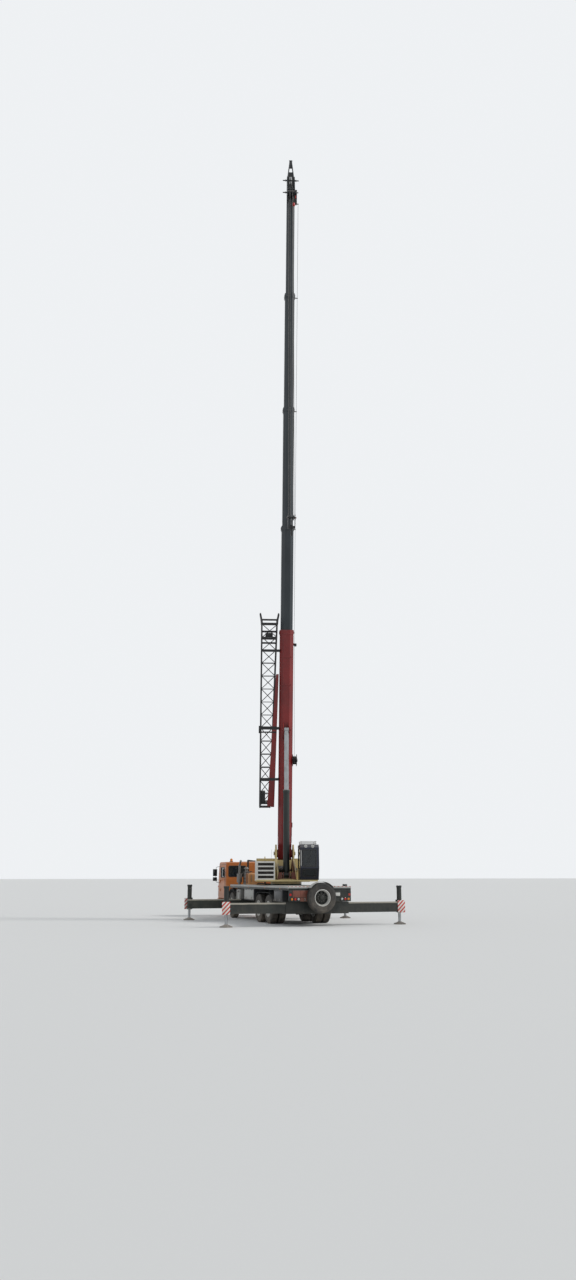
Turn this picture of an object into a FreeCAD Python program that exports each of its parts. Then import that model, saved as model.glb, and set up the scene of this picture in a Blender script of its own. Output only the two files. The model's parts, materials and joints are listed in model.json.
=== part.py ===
import FreeCAD, Part
import math
import os
import Sketcher
from types import SimpleNamespace

Vector = FreeCAD.Vector
Rotation = FreeCAD.Rotation
Placement = FreeCAD.Placement

# Truck crane, stood on its wheels and outriggers with the boom raised over the tail.
# Millimetres and degrees. +X is the carrier's front, +Y its left, Z = 0 the ground.
# "up" frame: origin on the slewing axis at ground level, x towards the boom's side.
# "boom" frame: origin at the boom's foot pin, x along the boom, z away from its belly.
SIZES = {
    # wheels, axles and springs
    "wheelRadius": 550, "tyreWidth": 280, "twinGap": 44, "tyreOuterY": 1235,
    "rimRadius": 290, "rimWall": 14, "discThick": 16, "hubRadius": 120, "hubLength": 190,
    "spindleRadius": 48, "shoulderDrop": 28, "runningGap": 0.3,
    "handHole": 33, "handHoleCircle": 200, "handHoleCount": 8, "tyreShoulder": 45, "tyreBead": 30,
    "frontAxleX": 3000, "rearAxleX": -1250, "bogieSpacing": 1350,
    "axleTube": 75, "diffRadius": 225, "propRadius": 50, "shaftZ": 960, "kingpinRadius": 28, "steerAngle": 32,
    "springLength": 1150, "springWidth": 90, "springLeaf": 18, "springLeaves": 4,
    "springSag": 95, "springEye": 30, "leafStep": 0.21,
    # chassis frame and deck
    "noseX": 5500, "tailX": -5500, "halfWidth": 1250, "frameTop": 1300, "frameBottom": 874,
    "railOuterY": 450, "railWidth": 90, "coverThick": 16, "crossThick": 40,
    "cabFrameTop": 960, "cabFrameBottom": 720, "kneeX": 2650, "bumperRound": 22,
    "deckTop": 1440, "deckRear": -5180, "deckFront": 3180, "deckSheet": 8, "deckLip": 140,
    "archGap": 70, "frontArchGap": 170, "guardSheet": 6, "guardSweep": 68,
    "frameTail": -5180, "tailPlate": 40, "spareX": -5360, "spareZ": 1030, "spareGuardGap": 28,
    "spareGuardSweep": 104, "tailLamp": 48, "headLamp": 95, "tankRear": 2340, "tankFront": 2790,
    "tankLeft": 650, "tankRight": -100, "tankTop": 1940, "tankRound": 70, "boxRound": 18, "boxDeep": 560,
    # outriggers
    "rearLineX": -4700, "frontLineX": 1300, "jackY": 3500, "beamWide": 190, "beamHigh": 380,
    "beamBottom": 470, "beamWall": 14, "sleeveWall": 16, "sleeveGap": 8, "beamInnerY": 900,
    "jackRadius": 92, "jackBore": 64, "jackTop": 1450, "jackFoot": 500, "glandHigh": 60, "rodRadius": 55,
    "rodTop": 930, "saddlePlate": 16, "floatRadius": 235, "floatThick": 36, "floatCone": 110,
    # carrier cab
    "cabRear": 4000, "cabFront": 5420, "cabFloor": 960, "cabRoof": 2440, "cabSkin": 45,
    "cabBelt": 1720, "cabHead": 2330, "cabSlant": 170, "doorFront": 5040, "doorRear": 4200,
    "doorGap": 6, "cabSill": 820, "cabRound": 40, "glassRound": 60, "windowEdge": 70, "doorHead": 60,
    "hingeOut": 14, "hingeRadius": 12, "hingePin": 5, "hingeLeaf": 56, "hingeHigh": 38, "stepZ": 470,
    "stepDeep": 160, "seatY": 700, "seatWide": 480, "seatHigh": 420, "wheelRing": 210, "ringTube": 14,
    # slewing ring and superstructure
    "slewX": -1100, "slewRadius": 640, "slewTop": 1500, "heading": 165,
    "tableTop": 1660, "tableThick": 60, "cheekInner": 340, "cheekThick": 60, "cheekTop": 370, "cheekHole": 150,
    "saddleHalf": 190, "saddleDrop": 40, "saddleHigh": 300,
    "footX": -1300, "footZ": 2750, "footPin": 60, "footBoss": 170,
    "ramX": 151, "ramZ": 1864, "ramPin": 42,
    "drumX": -2050, "drumZ": 2060, "drumRadius": 165, "drumFlange": 285, "drumHalf": 245,
    "drumShaft": 40, "tailRear": -2950, "tailFront": -2420, "tailTop": 2560, "tailBottom": 1560,
    "tailRound": 70,
    "upCabRear": -420, "upCabFront": 1230, "upCabInner": 520, "upCabOuter": 1240,
    "upCabTop": 3060, "upCabSkin": 40, "upCabBelt": 2120, "upCabSlant": 260, "upCabPost": 75,
    "coolerRear": -900, "coolerFront": 950, "coolerInner": -500, "coolerOuter": -1240,
    "coolerTop": 2390, "slatThick": 60, "coolerRound": 30, "louvreCount": 4,
    # boom
    "luffRest": 80, "baseFoot": -260, "baseTip": 9620, "boomBelly": -250, "boomHigh": 700,
    "boomWide": 570, "sectionWall": 12, "sectionLength": 9300, "collarProud": 16, "collarLength": 190,
    "guideRise": 55, "guideRoller": 26, "guideHalf": 62, "guideLow": 2500, "guideHigh": 6100,
    "tip1": 14200, "tip2": 19500, "tip3": 24680, "tip4": 29000,
    "wide1": 514, "wide2": 462, "wide3": 416, "wide4": 352,
    "high1": 630, "high2": 566, "high3": 508, "high4": 440,
    "headStart": 240, "headAxle": 245, "headUpper": 1000, "headTip": 2000, "sheaveRadius": 215,
    "sheaveThick": 46, "sheaveFlange": 24, "headHole": 75, "headPinOut": 60, "headPlate": 22,
    "headAxleDrop": 300, "headAxleRadius": 34,
    # lift cylinder
    "eyeAlong": 5316.7, "eyeDrop": -596.4, "barrelLength": 3450, "barrelFoot": 165, "barrelRadius": 132,
    "barrelWall": 18, "ramRod": 98, "ramEye": 105, "ramEyeHalf": 95,
    # hook and falls
    "hookDrop": 15400, "fallRadius": 9, "fallSpread": 60, "deadSpread": 118, "blockHigh": 560,
    "blockCheek": 132, "blockPlate": 18, "hookBend": 90, "hookThick": 34, "hookSweep": 230, "hookTip": 120,
    "shankLong": 120, "blockRound": 60,
    # jib stowed beside the base section
    "jibFoot": 1950, "jibTip": 9900, "jibOuterY": -1080, "jibInnerTop": -420,
    "jibInnerFoot": -660, "jibBack": 330, "jibBelly": -110, "jibTube": 30, "jibLace": 16,
    "jibBays": 14, "jibShelf": 26, "jibProng": 420, "prongFlare": 70, "jibFootFrame": 150,
    "clampLow": 3120, "clampMiddle": 5300, "clampHigh": 8660, "clampWide": 110, "clampTop": 360,
    "jibBoxHigh": 250, "boxTip": 7700, "boxFootOuter": -615, "boxFootInner": -470,
    "boxTipOuter": -432, "boxTipInner": -330,
    # cable reel on the base section's other side
    "reelAlong": 3980, "reelRadius": 260, "reelWide": 170, "reelHub": 90, "reelZ": 60,
}


class Size:
    """A dimension that carries its number and the formula it comes from."""

    def __init__(self, number, formula=None):
        self.number = float(number)
        self.formula = formula or (f"{self.number}" if number >= 0 else f"(0 - {-self.number})")

    def joined(self, sign, other, number):
        return Size(number, f"({self.formula} {sign} {as_size(other).formula})")

    def __add__(self, other):
        return self.joined("+", other, self.number + number_of(other))

    def __sub__(self, other):
        return self.joined("-", other, self.number - number_of(other))

    def __mul__(self, other):
        return self.joined("*", other, self.number * number_of(other))

    def __truediv__(self, other):
        return self.joined("/", other, self.number / number_of(other))

    def __radd__(self, other):
        return as_size(other) + self

    def __rsub__(self, other):
        return as_size(other) - self

    def __rmul__(self, other):
        return as_size(other) * self

    def __neg__(self):
        return 0 - self


def as_size(value):
    return value if isinstance(value, Size) else Size(value)


def number_of(value):
    return as_size(value).number


doc = FreeCAD.newDocument("MobileCrane")
sheet = doc.addObject("Spreadsheet::Sheet", "Sizes")
for row, (alias, value) in enumerate(SIZES.items(), start=1):
    sheet.set(f"A{row}", alias)
    sheet.set(f"B{row}", str(value))
    sheet.setAlias(f"B{row}", alias)
doc.recompute()
s = SimpleNamespace(**{alias: Size(sheet.get(alias), f"Sizes.{alias}") for alias in SIZES})

nodes = []
used_names = {}


def new_object(kind, name):
    used_names[name] = used_names.get(name, 0) + 1
    return doc.addObject(kind, f"{name}_{used_names[name]}")


def bind(thing, field, value):
    value = as_size(value)
    if "Sizes." in value.formula:
        thing.setExpression(field, value.formula)
    elif field.startswith("Placement.Base."):
        setattr(thing.Placement.Base, field[-1], value.number)
    else:
        setattr(thing, field, value.number)


def move_to(thing, place):
    """Bind an object's place to three dimensions."""
    numbers = Vector(*[number_of(value) for value in place])
    thing.Placement = Placement(numbers, thing.Placement.Rotation)
    for axis, value in zip("xyz", place):
        if "Sizes." in as_size(value).formula:
            thing.setExpression(f"Placement.Base.{axis}", value.formula)


def box(name, x, y, z):
    """Block between two values on each axis."""
    block = new_object("Part::Box", name)
    for field, (low, high) in zip(("Length", "Width", "Height"), (x, y, z)):
        bind(block, field, as_size(high) - low)
    move_to(block, (x[0], y[0], z[0]))
    return block


TURNS = {
    "x": Rotation(Vector(0, 1, 0), 90),
    "y": Rotation(Vector(1, 0, 0), -90),
    "z": Rotation(),
}


def rod(name, axis, radius, low, high, across):
    """Cylinder along an axis from low to high; across gives the two other coordinates."""
    bar = new_object("Part::Cylinder", name)
    bind(bar, "Radius", radius)
    bind(bar, "Height", as_size(high) - low)
    bar.Placement.Rotation = TURNS[axis]
    place = list(across)
    place.insert("xyz".index(axis), low)
    move_to(bar, place)
    return bar


def cone(name, axis, radius_low, radius_high, low, high, across):
    bar = new_object("Part::Cone", name)
    bind(bar, "Radius1", radius_low)
    bind(bar, "Radius2", radius_high)
    bind(bar, "Height", as_size(high) - low)
    bar.Placement.Rotation = TURNS[axis]
    place = list(across)
    place.insert("xyz".index(axis), low)
    move_to(bar, place)
    return bar


def fuse(name, *pieces):
    whole = new_object("Part::MultiFuse", name)
    whole.Shapes = list(pieces)
    whole.Refine = True
    return whole


def cut(name, base, *tools):
    whole = new_object("Part::Cut", name)
    whole.Base = base
    whole.Tool = tools[0] if len(tools) == 1 else fuse(name + "_tools", *tools)
    return whole


def gather(name, *pieces):
    whole = new_object("Part::Compound", name)
    whole.Links = list(pieces)
    return whole


def mirrored(name, piece):
    """The piece's twin on the other side of the XZ plane."""
    twin = new_object("Part::Mirroring", name)
    twin.Source = piece
    twin.Base = Vector(0, 0, 0)
    twin.Normal = Vector(0, 1, 0)
    return twin


def sketch(name, *loops):
    """Closed outlines of straight lines, every corner tied to the sketch's origin."""
    drawing = new_object("Sketcher::SketchObject", name)
    lines, ties, formulas = [], [], {}
    for loop in loops:
        first = len(lines)
        corners = [Vector(number_of(a), number_of(b), 0) for a, b in loop]
        for i, corner in enumerate(corners):
            lines.append(Part.LineSegment(corner, corners[(i + 1) % len(corners)]))
        for i, values in enumerate(loop):
            line = first + i
            following = first + (i + 1) % len(loop)
            ties.append(Sketcher.Constraint("Coincident", line, 2, following, 1))
            for kind, value in zip(("DistanceX", "DistanceY"), values):
                if "Sizes." in as_size(value).formula:
                    formulas[len(ties)] = value.formula
                ties.append(Sketcher.Constraint(kind, -1, 1, line, 1, number_of(value)))
    drawing.addGeometry(lines, False)
    drawing.addConstraint(ties)
    for index, formula in formulas.items():
        drawing.setExpression(f"Constraints[{index}]", formula)
    return drawing


PLANES = {
    "xy": (Rotation(), "z"),
    "xz": (Rotation(Vector(1, 0, 0), 90), "y"),
    "yz": (Rotation(Vector(0, 1, 0), Vector(0, 0, 1), Vector(1, 0, 0), "ZXY"), "x"),
}
WAYS = {"x": Vector(1, 0, 0), "y": Vector(0, 1, 0), "z": Vector(0, 0, 1)}


def prism(name, plane, low, high, *loops):
    """Extrusion of outlines drawn in a plane, from low to high across it."""
    turn, axis = PLANES[plane]
    drawing = sketch(name + "_outline", *loops)
    drawing.Placement.Rotation = turn
    place = [0, 0, 0]
    place["xyz".index(axis)] = low
    move_to(drawing, place)
    body = new_object("Part::Extrusion", name)
    body.Base = drawing
    body.DirMode = "Custom"
    body.Dir = WAYS[axis]
    body.Solid = True
    bind(body, "LengthFwd", as_size(high) - low)
    return body


def turned(name, centre, *loops, start=0, sweep=360):
    """Solid of revolution about an axis along Y; loops give (along y, radius) pairs.

    A part turn starts at the angle start, where 0 is at -X and 90 at +Z.
    """
    drawing = sketch(name + "_outline", *loops)
    drawing.Placement = Placement(Vector(0, 0, 0), Rotation(Vector(0, 0, 1), 90))
    body = new_object("Part::Revolution", name)
    body.Source = drawing
    body.Axis = Vector(0, 1, 0)
    body.Base = Vector(0, 0, 0)
    bind(body, "Angle", sweep)
    body.Solid = True
    body.Placement.Rotation = Rotation(Vector(0, 1, 0), number_of(start))
    move_to(body, centre)
    return body


def runs_along(edge, axis):
    return edge.Curve.TypeId == "Part::GeomLine" and abs(edge.tangentAt(edge.FirstParameter).dot(WAYS[axis])) > 0.999


def eased(name, piece, radius, wanted):
    """Round those edges of the piece that pass the wanted test."""
    doc.recompute()
    rounded = new_object("Part::Fillet", name)
    rounded.Base = piece
    size = number_of(radius)
    rounded.Edges = [(i, size, size) for i, edge in enumerate(piece.Shape.Edges, start=1) if wanted(edge)]
    return rounded


def sheave(name, centre, y, radius, bore):
    """Grooved rope sheave; the rope lies on the radius, between flanges that stand proud of it."""
    half, proud = s.sheaveThick / 2, radius + s.sheaveFlange
    return turned(name, (centre[0], y, centre[1]), [
        (-half, bore), (-half, proud), (-half + 8, proud), (-s.fallRadius - 2, radius),
        (s.fallRadius + 2, radius), (half - 8, proud), (half, proud), (half, bore)])


def strut(name, start, end, half):
    """Square bar between two points given as numbers, its faces level with Y and Z."""
    bar = new_object("Part::Box", name)
    run = end - start
    bind(bar, "Length", 2 * half)
    bind(bar, "Width", 2 * half)
    bar.Height = run.Length
    level = Vector(0, 0, 1).cross(run)
    if level.Length < 1:
        level = Vector(0, 1, 0)
    turn = Rotation(level, run.cross(level), run, "ZXY")
    corner = turn.multVec(Vector(-number_of(half), -number_of(half), 0))
    bar.Placement = Placement(start + corner, turn)
    return bar


def round_bar(name, start, end, radius):
    """Round bar between two points given as numbers, with a ball at its start."""
    bar = new_object("Part::Cylinder", name)
    run = end - start
    bind(bar, "Radius", radius)
    bar.Height = run.Length
    bar.Placement = Placement(start, Rotation(Vector(0, 0, 1), run))
    ball = new_object("Part::Sphere", name + "_joint")
    bind(ball, "Radius", radius * 1.3)
    ball.Placement.Base = start
    return fuse(name + "_whole", bar, ball)


def node(label, piece, frame=None):
    """Give a finished sub-part its name and its place in the whole."""
    piece.Label = label
    if frame is not None:
        piece.Placement = frame.multiply(piece.Placement)
    nodes.append(piece)
    return piece


up_frame = Placement(Vector(s.slewX.number, 0, 0), Rotation(Vector(0, 0, 1), s.heading.number))
boom_frame = up_frame.multiply(Placement(
    Vector(s.footX.number, 0, s.footZ.number), Rotation(Vector(0, 1, 0), -s.luffRest.number)))


# Carrier frame: two deep rails with a cover plate and cross members, stepped down under the cab
def chassis_frame():
    side = [
        (s.frameTail, s.frameBottom), (s.frameTail, s.frameTop), (s.kneeX, s.frameTop),
        (s.kneeX + 420, s.cabFrameTop), (s.noseX - 250, s.cabFrameTop),
        (s.noseX - 250, s.cabFrameBottom), (s.kneeX - 150, s.cabFrameBottom),
        (s.kneeX - 500, s.frameBottom),
    ]
    rail = prism("rail", "xz", s.railOuterY - s.railWidth, s.railOuterY, side)
    cover = box("cover", (s.frameTail, s.kneeX), (-s.railOuterY + 5, s.railOuterY - 5),
                (s.frameTop - s.coverThick, s.frameTop))
    inner = s.railOuterY - s.railWidth + 5
    members = [rail, mirrored("rail_right", rail), cover]
    for x, low in ((s.frameTail, s.frameBottom), (s.rearAxleX - s.bogieSpacing - 700, s.frameBottom),
                   (s.rearAxleX - s.bogieSpacing / 2, s.frameBottom),
                   (s.rearAxleX + 600, s.frameBottom), (s.kneeX - 950, s.shaftZ + 80)):
        members.append(box("cross", (x, x + s.crossThick), (-inner, inner), (low, s.frameTop - 10)))
    for x in (s.kneeX + 500, s.noseX - 250 - s.crossThick):
        members.append(box("cross", (x, x + s.crossThick), (-inner, inner),
                           (s.cabFrameBottom, s.cabFrameTop)))
    node("chassis_frame", fuse("chassis", *members))
    beam = prism("bumper", "xz", -s.halfWidth, s.halfWidth, [
        (s.noseX - 250, s.cabFrameBottom - 200), (s.noseX - 40, s.cabFrameBottom - 200),
        (s.noseX, s.cabFrameBottom - 140), (s.noseX, s.cabSill - 10),
        (s.noseX - 250, s.cabSill - 10)])
    nose = s.noseX.number
    node("front_bumper", eased("bumper_eased", beam, s.bumperRound, lambda edge: runs_along(edge, "y")
                               and edge.CenterOfMass.x > nose - 41))
    node("engine_block", box("engine", (s.kneeX - 350, s.kneeX + 300),
                             (-s.railOuterY + s.railWidth + 30, s.railOuterY - s.railWidth - 30),
                             (s.frameBottom + 20, s.frameTop - s.coverThick - 5)))


def deck():
    """Tread-plate deck with a turned-down edge and a round hole for the slewing pedestal."""
    slab = box("deck_slab", (s.deckRear, s.deckFront), (-s.halfWidth, s.halfWidth),
               (s.deckTop - s.deckLip, s.deckTop))
    under = []
    for side in (-1, 1):
        low, high = sorted((side * (s.railOuterY + 1), side * (s.halfWidth - s.deckSheet)),
                           key=number_of)
        under.append(box("deck_hollow", (s.deckRear + s.deckSheet, s.deckFront - s.deckSheet),
                         (low, high), (s.deckTop - s.deckLip - 1, s.deckTop - s.deckSheet)))
    hole = rod("deck_hole", "z", s.slewRadius + 15, s.frameTop - 50, s.deckTop + 10, (s.slewX, 0))
    low = s.wheelRadius + s.spareGuardGap
    front, rear = s.spareX - s.deckRear - 10, s.tyreWidth / 2
    guard = gather("spare_guard", turned("spare_arc", (Size(0), 0, 0), [
        (front, low), (rear, low), (rear, low + s.guardSheet), (front, low + s.guardSheet)],
        start=90 - s.spareGuardSweep / 2, sweep=s.spareGuardSweep))
    guard.Placement = Placement(Vector(s.spareX.number, 0, s.spareZ.number), Rotation(Vector(0, 0, 1), 90))
    node("deck_plates", fuse("deck_whole", cut("deck", slab, hole, *under), guard))


def mudguards():
    """Rolled guards over the wheels, hung from the deck sheet by stay plates."""
    guards = []
    table = (  # middle of the axles, half their spacing, room round the tyre, inner edge
        (s.frontAxleX, Size(0), s.frontArchGap, s.tyreOuterY - s.tyreWidth - 20),
        (s.rearAxleX - s.bogieSpacing / 2, s.bogieSpacing / 2, s.archGap, s.railOuterY + 110))
    for x, reach, room, inner_y in table:
        low = s.wheelRadius + room
        high, outer_y = low + s.guardSheet, s.halfWidth - 10
        sheet_loop = [(inner_y, low), (outer_y, low), (outer_y, high), (inner_y, high)]
        pieces = [turned("guard_rear", (x - reach, 0, s.wheelRadius), sheet_loop,
                         start=90 - s.guardSweep, sweep=s.guardSweep),
                  turned("guard_front", (x + reach, 0, s.wheelRadius), sheet_loop,
                         start=90, sweep=s.guardSweep)]
        if reach.number:
            pieces.append(box("guard_top", (x - reach, x + reach), (inner_y, outer_y),
                              (s.wheelRadius + low, s.wheelRadius + high)))
        for way in {-1, 1} if reach.number else {0}:
            middle = x + way * reach
            pieces.append(box("guard_stay", (middle - 4, middle + 4), (inner_y + 120, outer_y - 60),
                              (s.wheelRadius + low + 2, s.deckTop - s.deckSheet)))
        skin = fuse("guard", *pieces)
        guards += [skin, mirrored("guard_right", skin)]
    node("mudguards", gather("guards", *guards))


def axles():
    """Steered front beam, two driven rear axles with their propeller shaft, and leaf springs."""
    z = s.wheelRadius
    beam_end = s.tyreOuterY - s.tyreWidth - 70
    beam = box("front_beam", (s.frontAxleX - 50, s.frontAxleX + 50), (-beam_end + 110, beam_end - 110),
               (z - 150, z - 50))
    pads = [beam]
    for side in (-1, 1):
        low, high = sorted((side * (beam_end - 110), side * (beam_end - 20)), key=number_of)
        eye = box("front_eye", (s.frontAxleX - 45, s.frontAxleX + 45), (low, high), (z - 150, z + 45))
        bore = rod("kingpin_bore", "z", s.kingpinRadius + s.runningGap, z - 160, z + 60,
                   (s.frontAxleX, side * (beam_end - 65)))
        pads.append(cut("front_eye_cut", eye, bore))
    node("front_axle", fuse("front_axle_whole", *pads))
    inner_face = s.tyreOuterY - 2 * s.tyreWidth - s.twinGap
    rear = []
    for i in range(2):
        x = s.rearAxleX - i * s.bogieSpacing
        rear.append(rod("axle_tube", "y", s.axleTube, -inner_face + 20, inner_face - 20, (x, z)))
        spindle_end = s.tyreOuterY - s.tyreWidth - s.twinGap / 2 + s.hubLength / 2
        rear.append(rod("axle_spindle", "y", s.spindleRadius, -spindle_end, spindle_end, (x, z)))
        rear.append(turned("diff", (x, 0, z), [
            (-s.diffRadius + 30, 0), (-s.diffRadius + 30, s.axleTube + 8), (-60, s.diffRadius),
            (60, s.diffRadius), (s.diffRadius - 30, s.axleTube + 8), (s.diffRadius - 30, 0)]))
        neck = x + s.diffRadius + 70
        rear.append(cone("pinion", "x", s.diffRadius * 0.7, s.propRadius + 30, x, neck, (0, z)))
        rear.append(rod("pinion_flange", "x", s.propRadius + 34, neck - 10, neck + 14, (0, z)))
    rear.append(rod("inter_shaft", "x", s.propRadius, s.rearAxleX - s.bogieSpacing, s.rearAxleX, (0, z)))
    rear.append(rod("gearbox_shaft", "x", s.propRadius, s.frontLineX - 300, s.kneeX - 350, (0, s.shaftZ)))
    rear.append(round_bar("prop_shaft", Vector((s.frontLineX - 300).number, 0, s.shaftZ.number),
                          Vector(s.rearAxleX.number, 0, z.number), s.propRadius))
    node("rear_axles", fuse("rear_axles_whole", *rear))
    springs = []
    half, stack = s.springLength / 2, s.springLeaf * s.springLeaves
    bend = (half * half / s.springSag + s.springSag) / 2
    turn = math.degrees(math.asin((half / bend).number))
    for x, seat, top in ((s.frontAxleX, z - 50, s.cabFrameBottom), (s.rearAxleX, z + s.axleTube, s.frameBottom),
                         (s.rearAxleX - s.bogieSpacing, z + s.axleTube, s.frameBottom)):
        low_y, high_y = s.railOuterY - s.springWidth, s.railOuterY
        leaves = []
        for i in range(int(s.springLeaves.number)):
            outer = bend - s.springLeaf * i
            share = turn * (1 - s.leafStep.number * (s.springLeaves.number - 1 - i))
            leaves.append(turned("leaf", (x, 0, seat + bend), [
                (low_y, outer - s.springLeaf), (high_y, outer - s.springLeaf), (high_y, outer), (low_y, outer)],
                start=270 - share, sweep=2 * share))
        eye_z = seat + stack + s.springSag
        for way in (-1, 1):
            end = x + way * (half - 12)
            leaves.append(rod("spring_eye", "y", s.springEye, low_y, high_y, (end, eye_z)))
            leaves.append(box("spring_hanger", (end - 22, end + 22), (low_y + 12, high_y - 12), (eye_z, top)))
        clamp = box("spring_clamp", (x - 60, x + 60), (low_y - 8, high_y + 8), (seat, seat + stack + 20))
        leaf = fuse("spring", clamp, *leaves)
        springs += [leaf, mirrored("spring_right", leaf)]
    node("leaf_springs", gather("springs", *springs))


def hand_holes(centre, low, high):
    """Round holes in a wheel's disc, equally spaced about its hub."""
    count = int(s.handHoleCount.number)
    holes = []
    for i in range(count):
        turn = 2 * math.pi * (i + 0.5) / count
        across = (centre[0] + s.handHoleCircle * round(math.cos(turn), 6),
                  centre[1] + s.handHoleCircle * round(math.sin(turn), 6))
        holes.append(rod("hand_hole", "y", s.handHole, low, high, across))
    return holes


def tyre_loop(middle):
    """Section of a tyre on its rim: beads, bulged walls, rounded shoulders and a crowned tread."""
    half, r = s.tyreWidth / 2, s.wheelRadius
    return [(middle - half + s.tyreBead, s.rimRadius), (middle - half, s.rimRadius + 90),
            (middle - half, r - 130), (middle - half + 12, r - s.shoulderDrop),
            (middle - half + s.tyreShoulder, r - 4), (middle, r), (middle + half - s.tyreShoulder, r - 4),
            (middle + half - 12, r - s.shoulderDrop), (middle + half, r - 130),
            (middle + half, s.rimRadius + 90), (middle + half - s.tyreBead, s.rimRadius)]


def wheel(label, x, side, twin):
    """Road wheel with its rim and hub, one or two tyres wide, outer face at tyreOuterY."""
    tyres = [tyre_loop(s.tyreOuterY - s.tyreWidth / 2 - i * (s.tyreWidth + s.twinGap))
             for i in range(2 if twin else 1)]
    seat = s.tyreOuterY - (s.tyreWidth + s.twinGap / 2 if twin else s.tyreWidth * 0.62)
    far = s.tyreOuterY - (2 * s.tyreWidth + s.twinGap if twin else s.tyreWidth)
    bore = s.spindleRadius + s.runningGap
    edge = s.tyreBead - 5
    rim = [(far + edge, s.rimRadius + 1), (far + edge, s.rimRadius - s.rimWall),
           (seat - s.discThick, s.rimRadius - s.rimWall),
           (seat - s.discThick, s.hubRadius), (seat - s.hubLength * 0.45, s.hubRadius),
           (seat - s.hubLength * 0.45, bore), (seat + s.hubLength * 0.55, bore),
           (seat + s.hubLength * 0.55, s.hubRadius - 25), (seat + s.hubLength * 0.3, s.hubRadius),
           (seat, s.hubRadius), (seat, s.rimRadius - s.rimWall),
           (s.tyreOuterY - edge, s.rimRadius - s.rimWall), (s.tyreOuterY - edge, s.rimRadius + 1)]
    centre = (x, 0, s.wheelRadius)
    parts = [turned("rim", centre, rim)] + [turned("tyre", centre, loop) for loop in tyres]
    holes = hand_holes((x, s.wheelRadius), seat - s.discThick - 1, seat + 1)
    whole = cut("wheel", fuse("wheel_solid", *parts), *holes)
    if side < 0:
        whole = mirrored("wheel_right", whole)
    node(label, whole)


def knuckles():
    """Steering knuckles: kingpin, fork and the spindle that the front wheel runs on."""
    z = s.wheelRadius
    pin_y = s.tyreOuterY - s.tyreWidth - 70 - 65
    for side, name in ((1, "left"), (-1, "right")):
        pin = rod("kingpin", "z", s.kingpinRadius, z - 178, z + 88, (s.frontAxleX, pin_y))
        arms = [box("fork", (s.frontAxleX - 40, s.frontAxleX + 40), (pin_y - 40, pin_y + 110), span)
                for span in ((z - 185, z - 156), (z + 51, z + 90))]
        web = box("fork_web", (s.frontAxleX - 40, s.frontAxleX + 40), (pin_y + 75, pin_y + 110),
                  (z - 185, z + 90))
        spindle = rod("spindle", "y", s.spindleRadius, pin_y + 100, s.tyreOuterY - 95,
                      (s.frontAxleX, z))
        whole = fuse("knuckle", pin, web, spindle, *arms)
        if side < 0:
            whole = mirrored("knuckle_twin", whole)
        node(f"steering_knuckle_{name}", whole)


OUTRIGGERS = (  # name, which line, side, place of its beam along X in the sleeve pair
    ("front_left", "frontLineX", 1, 1), ("front_right", "frontLineX", -1, -1),
    ("rear_left", "rearLineX", 1, -1), ("rear_right", "rearLineX", -1, 1))


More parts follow.
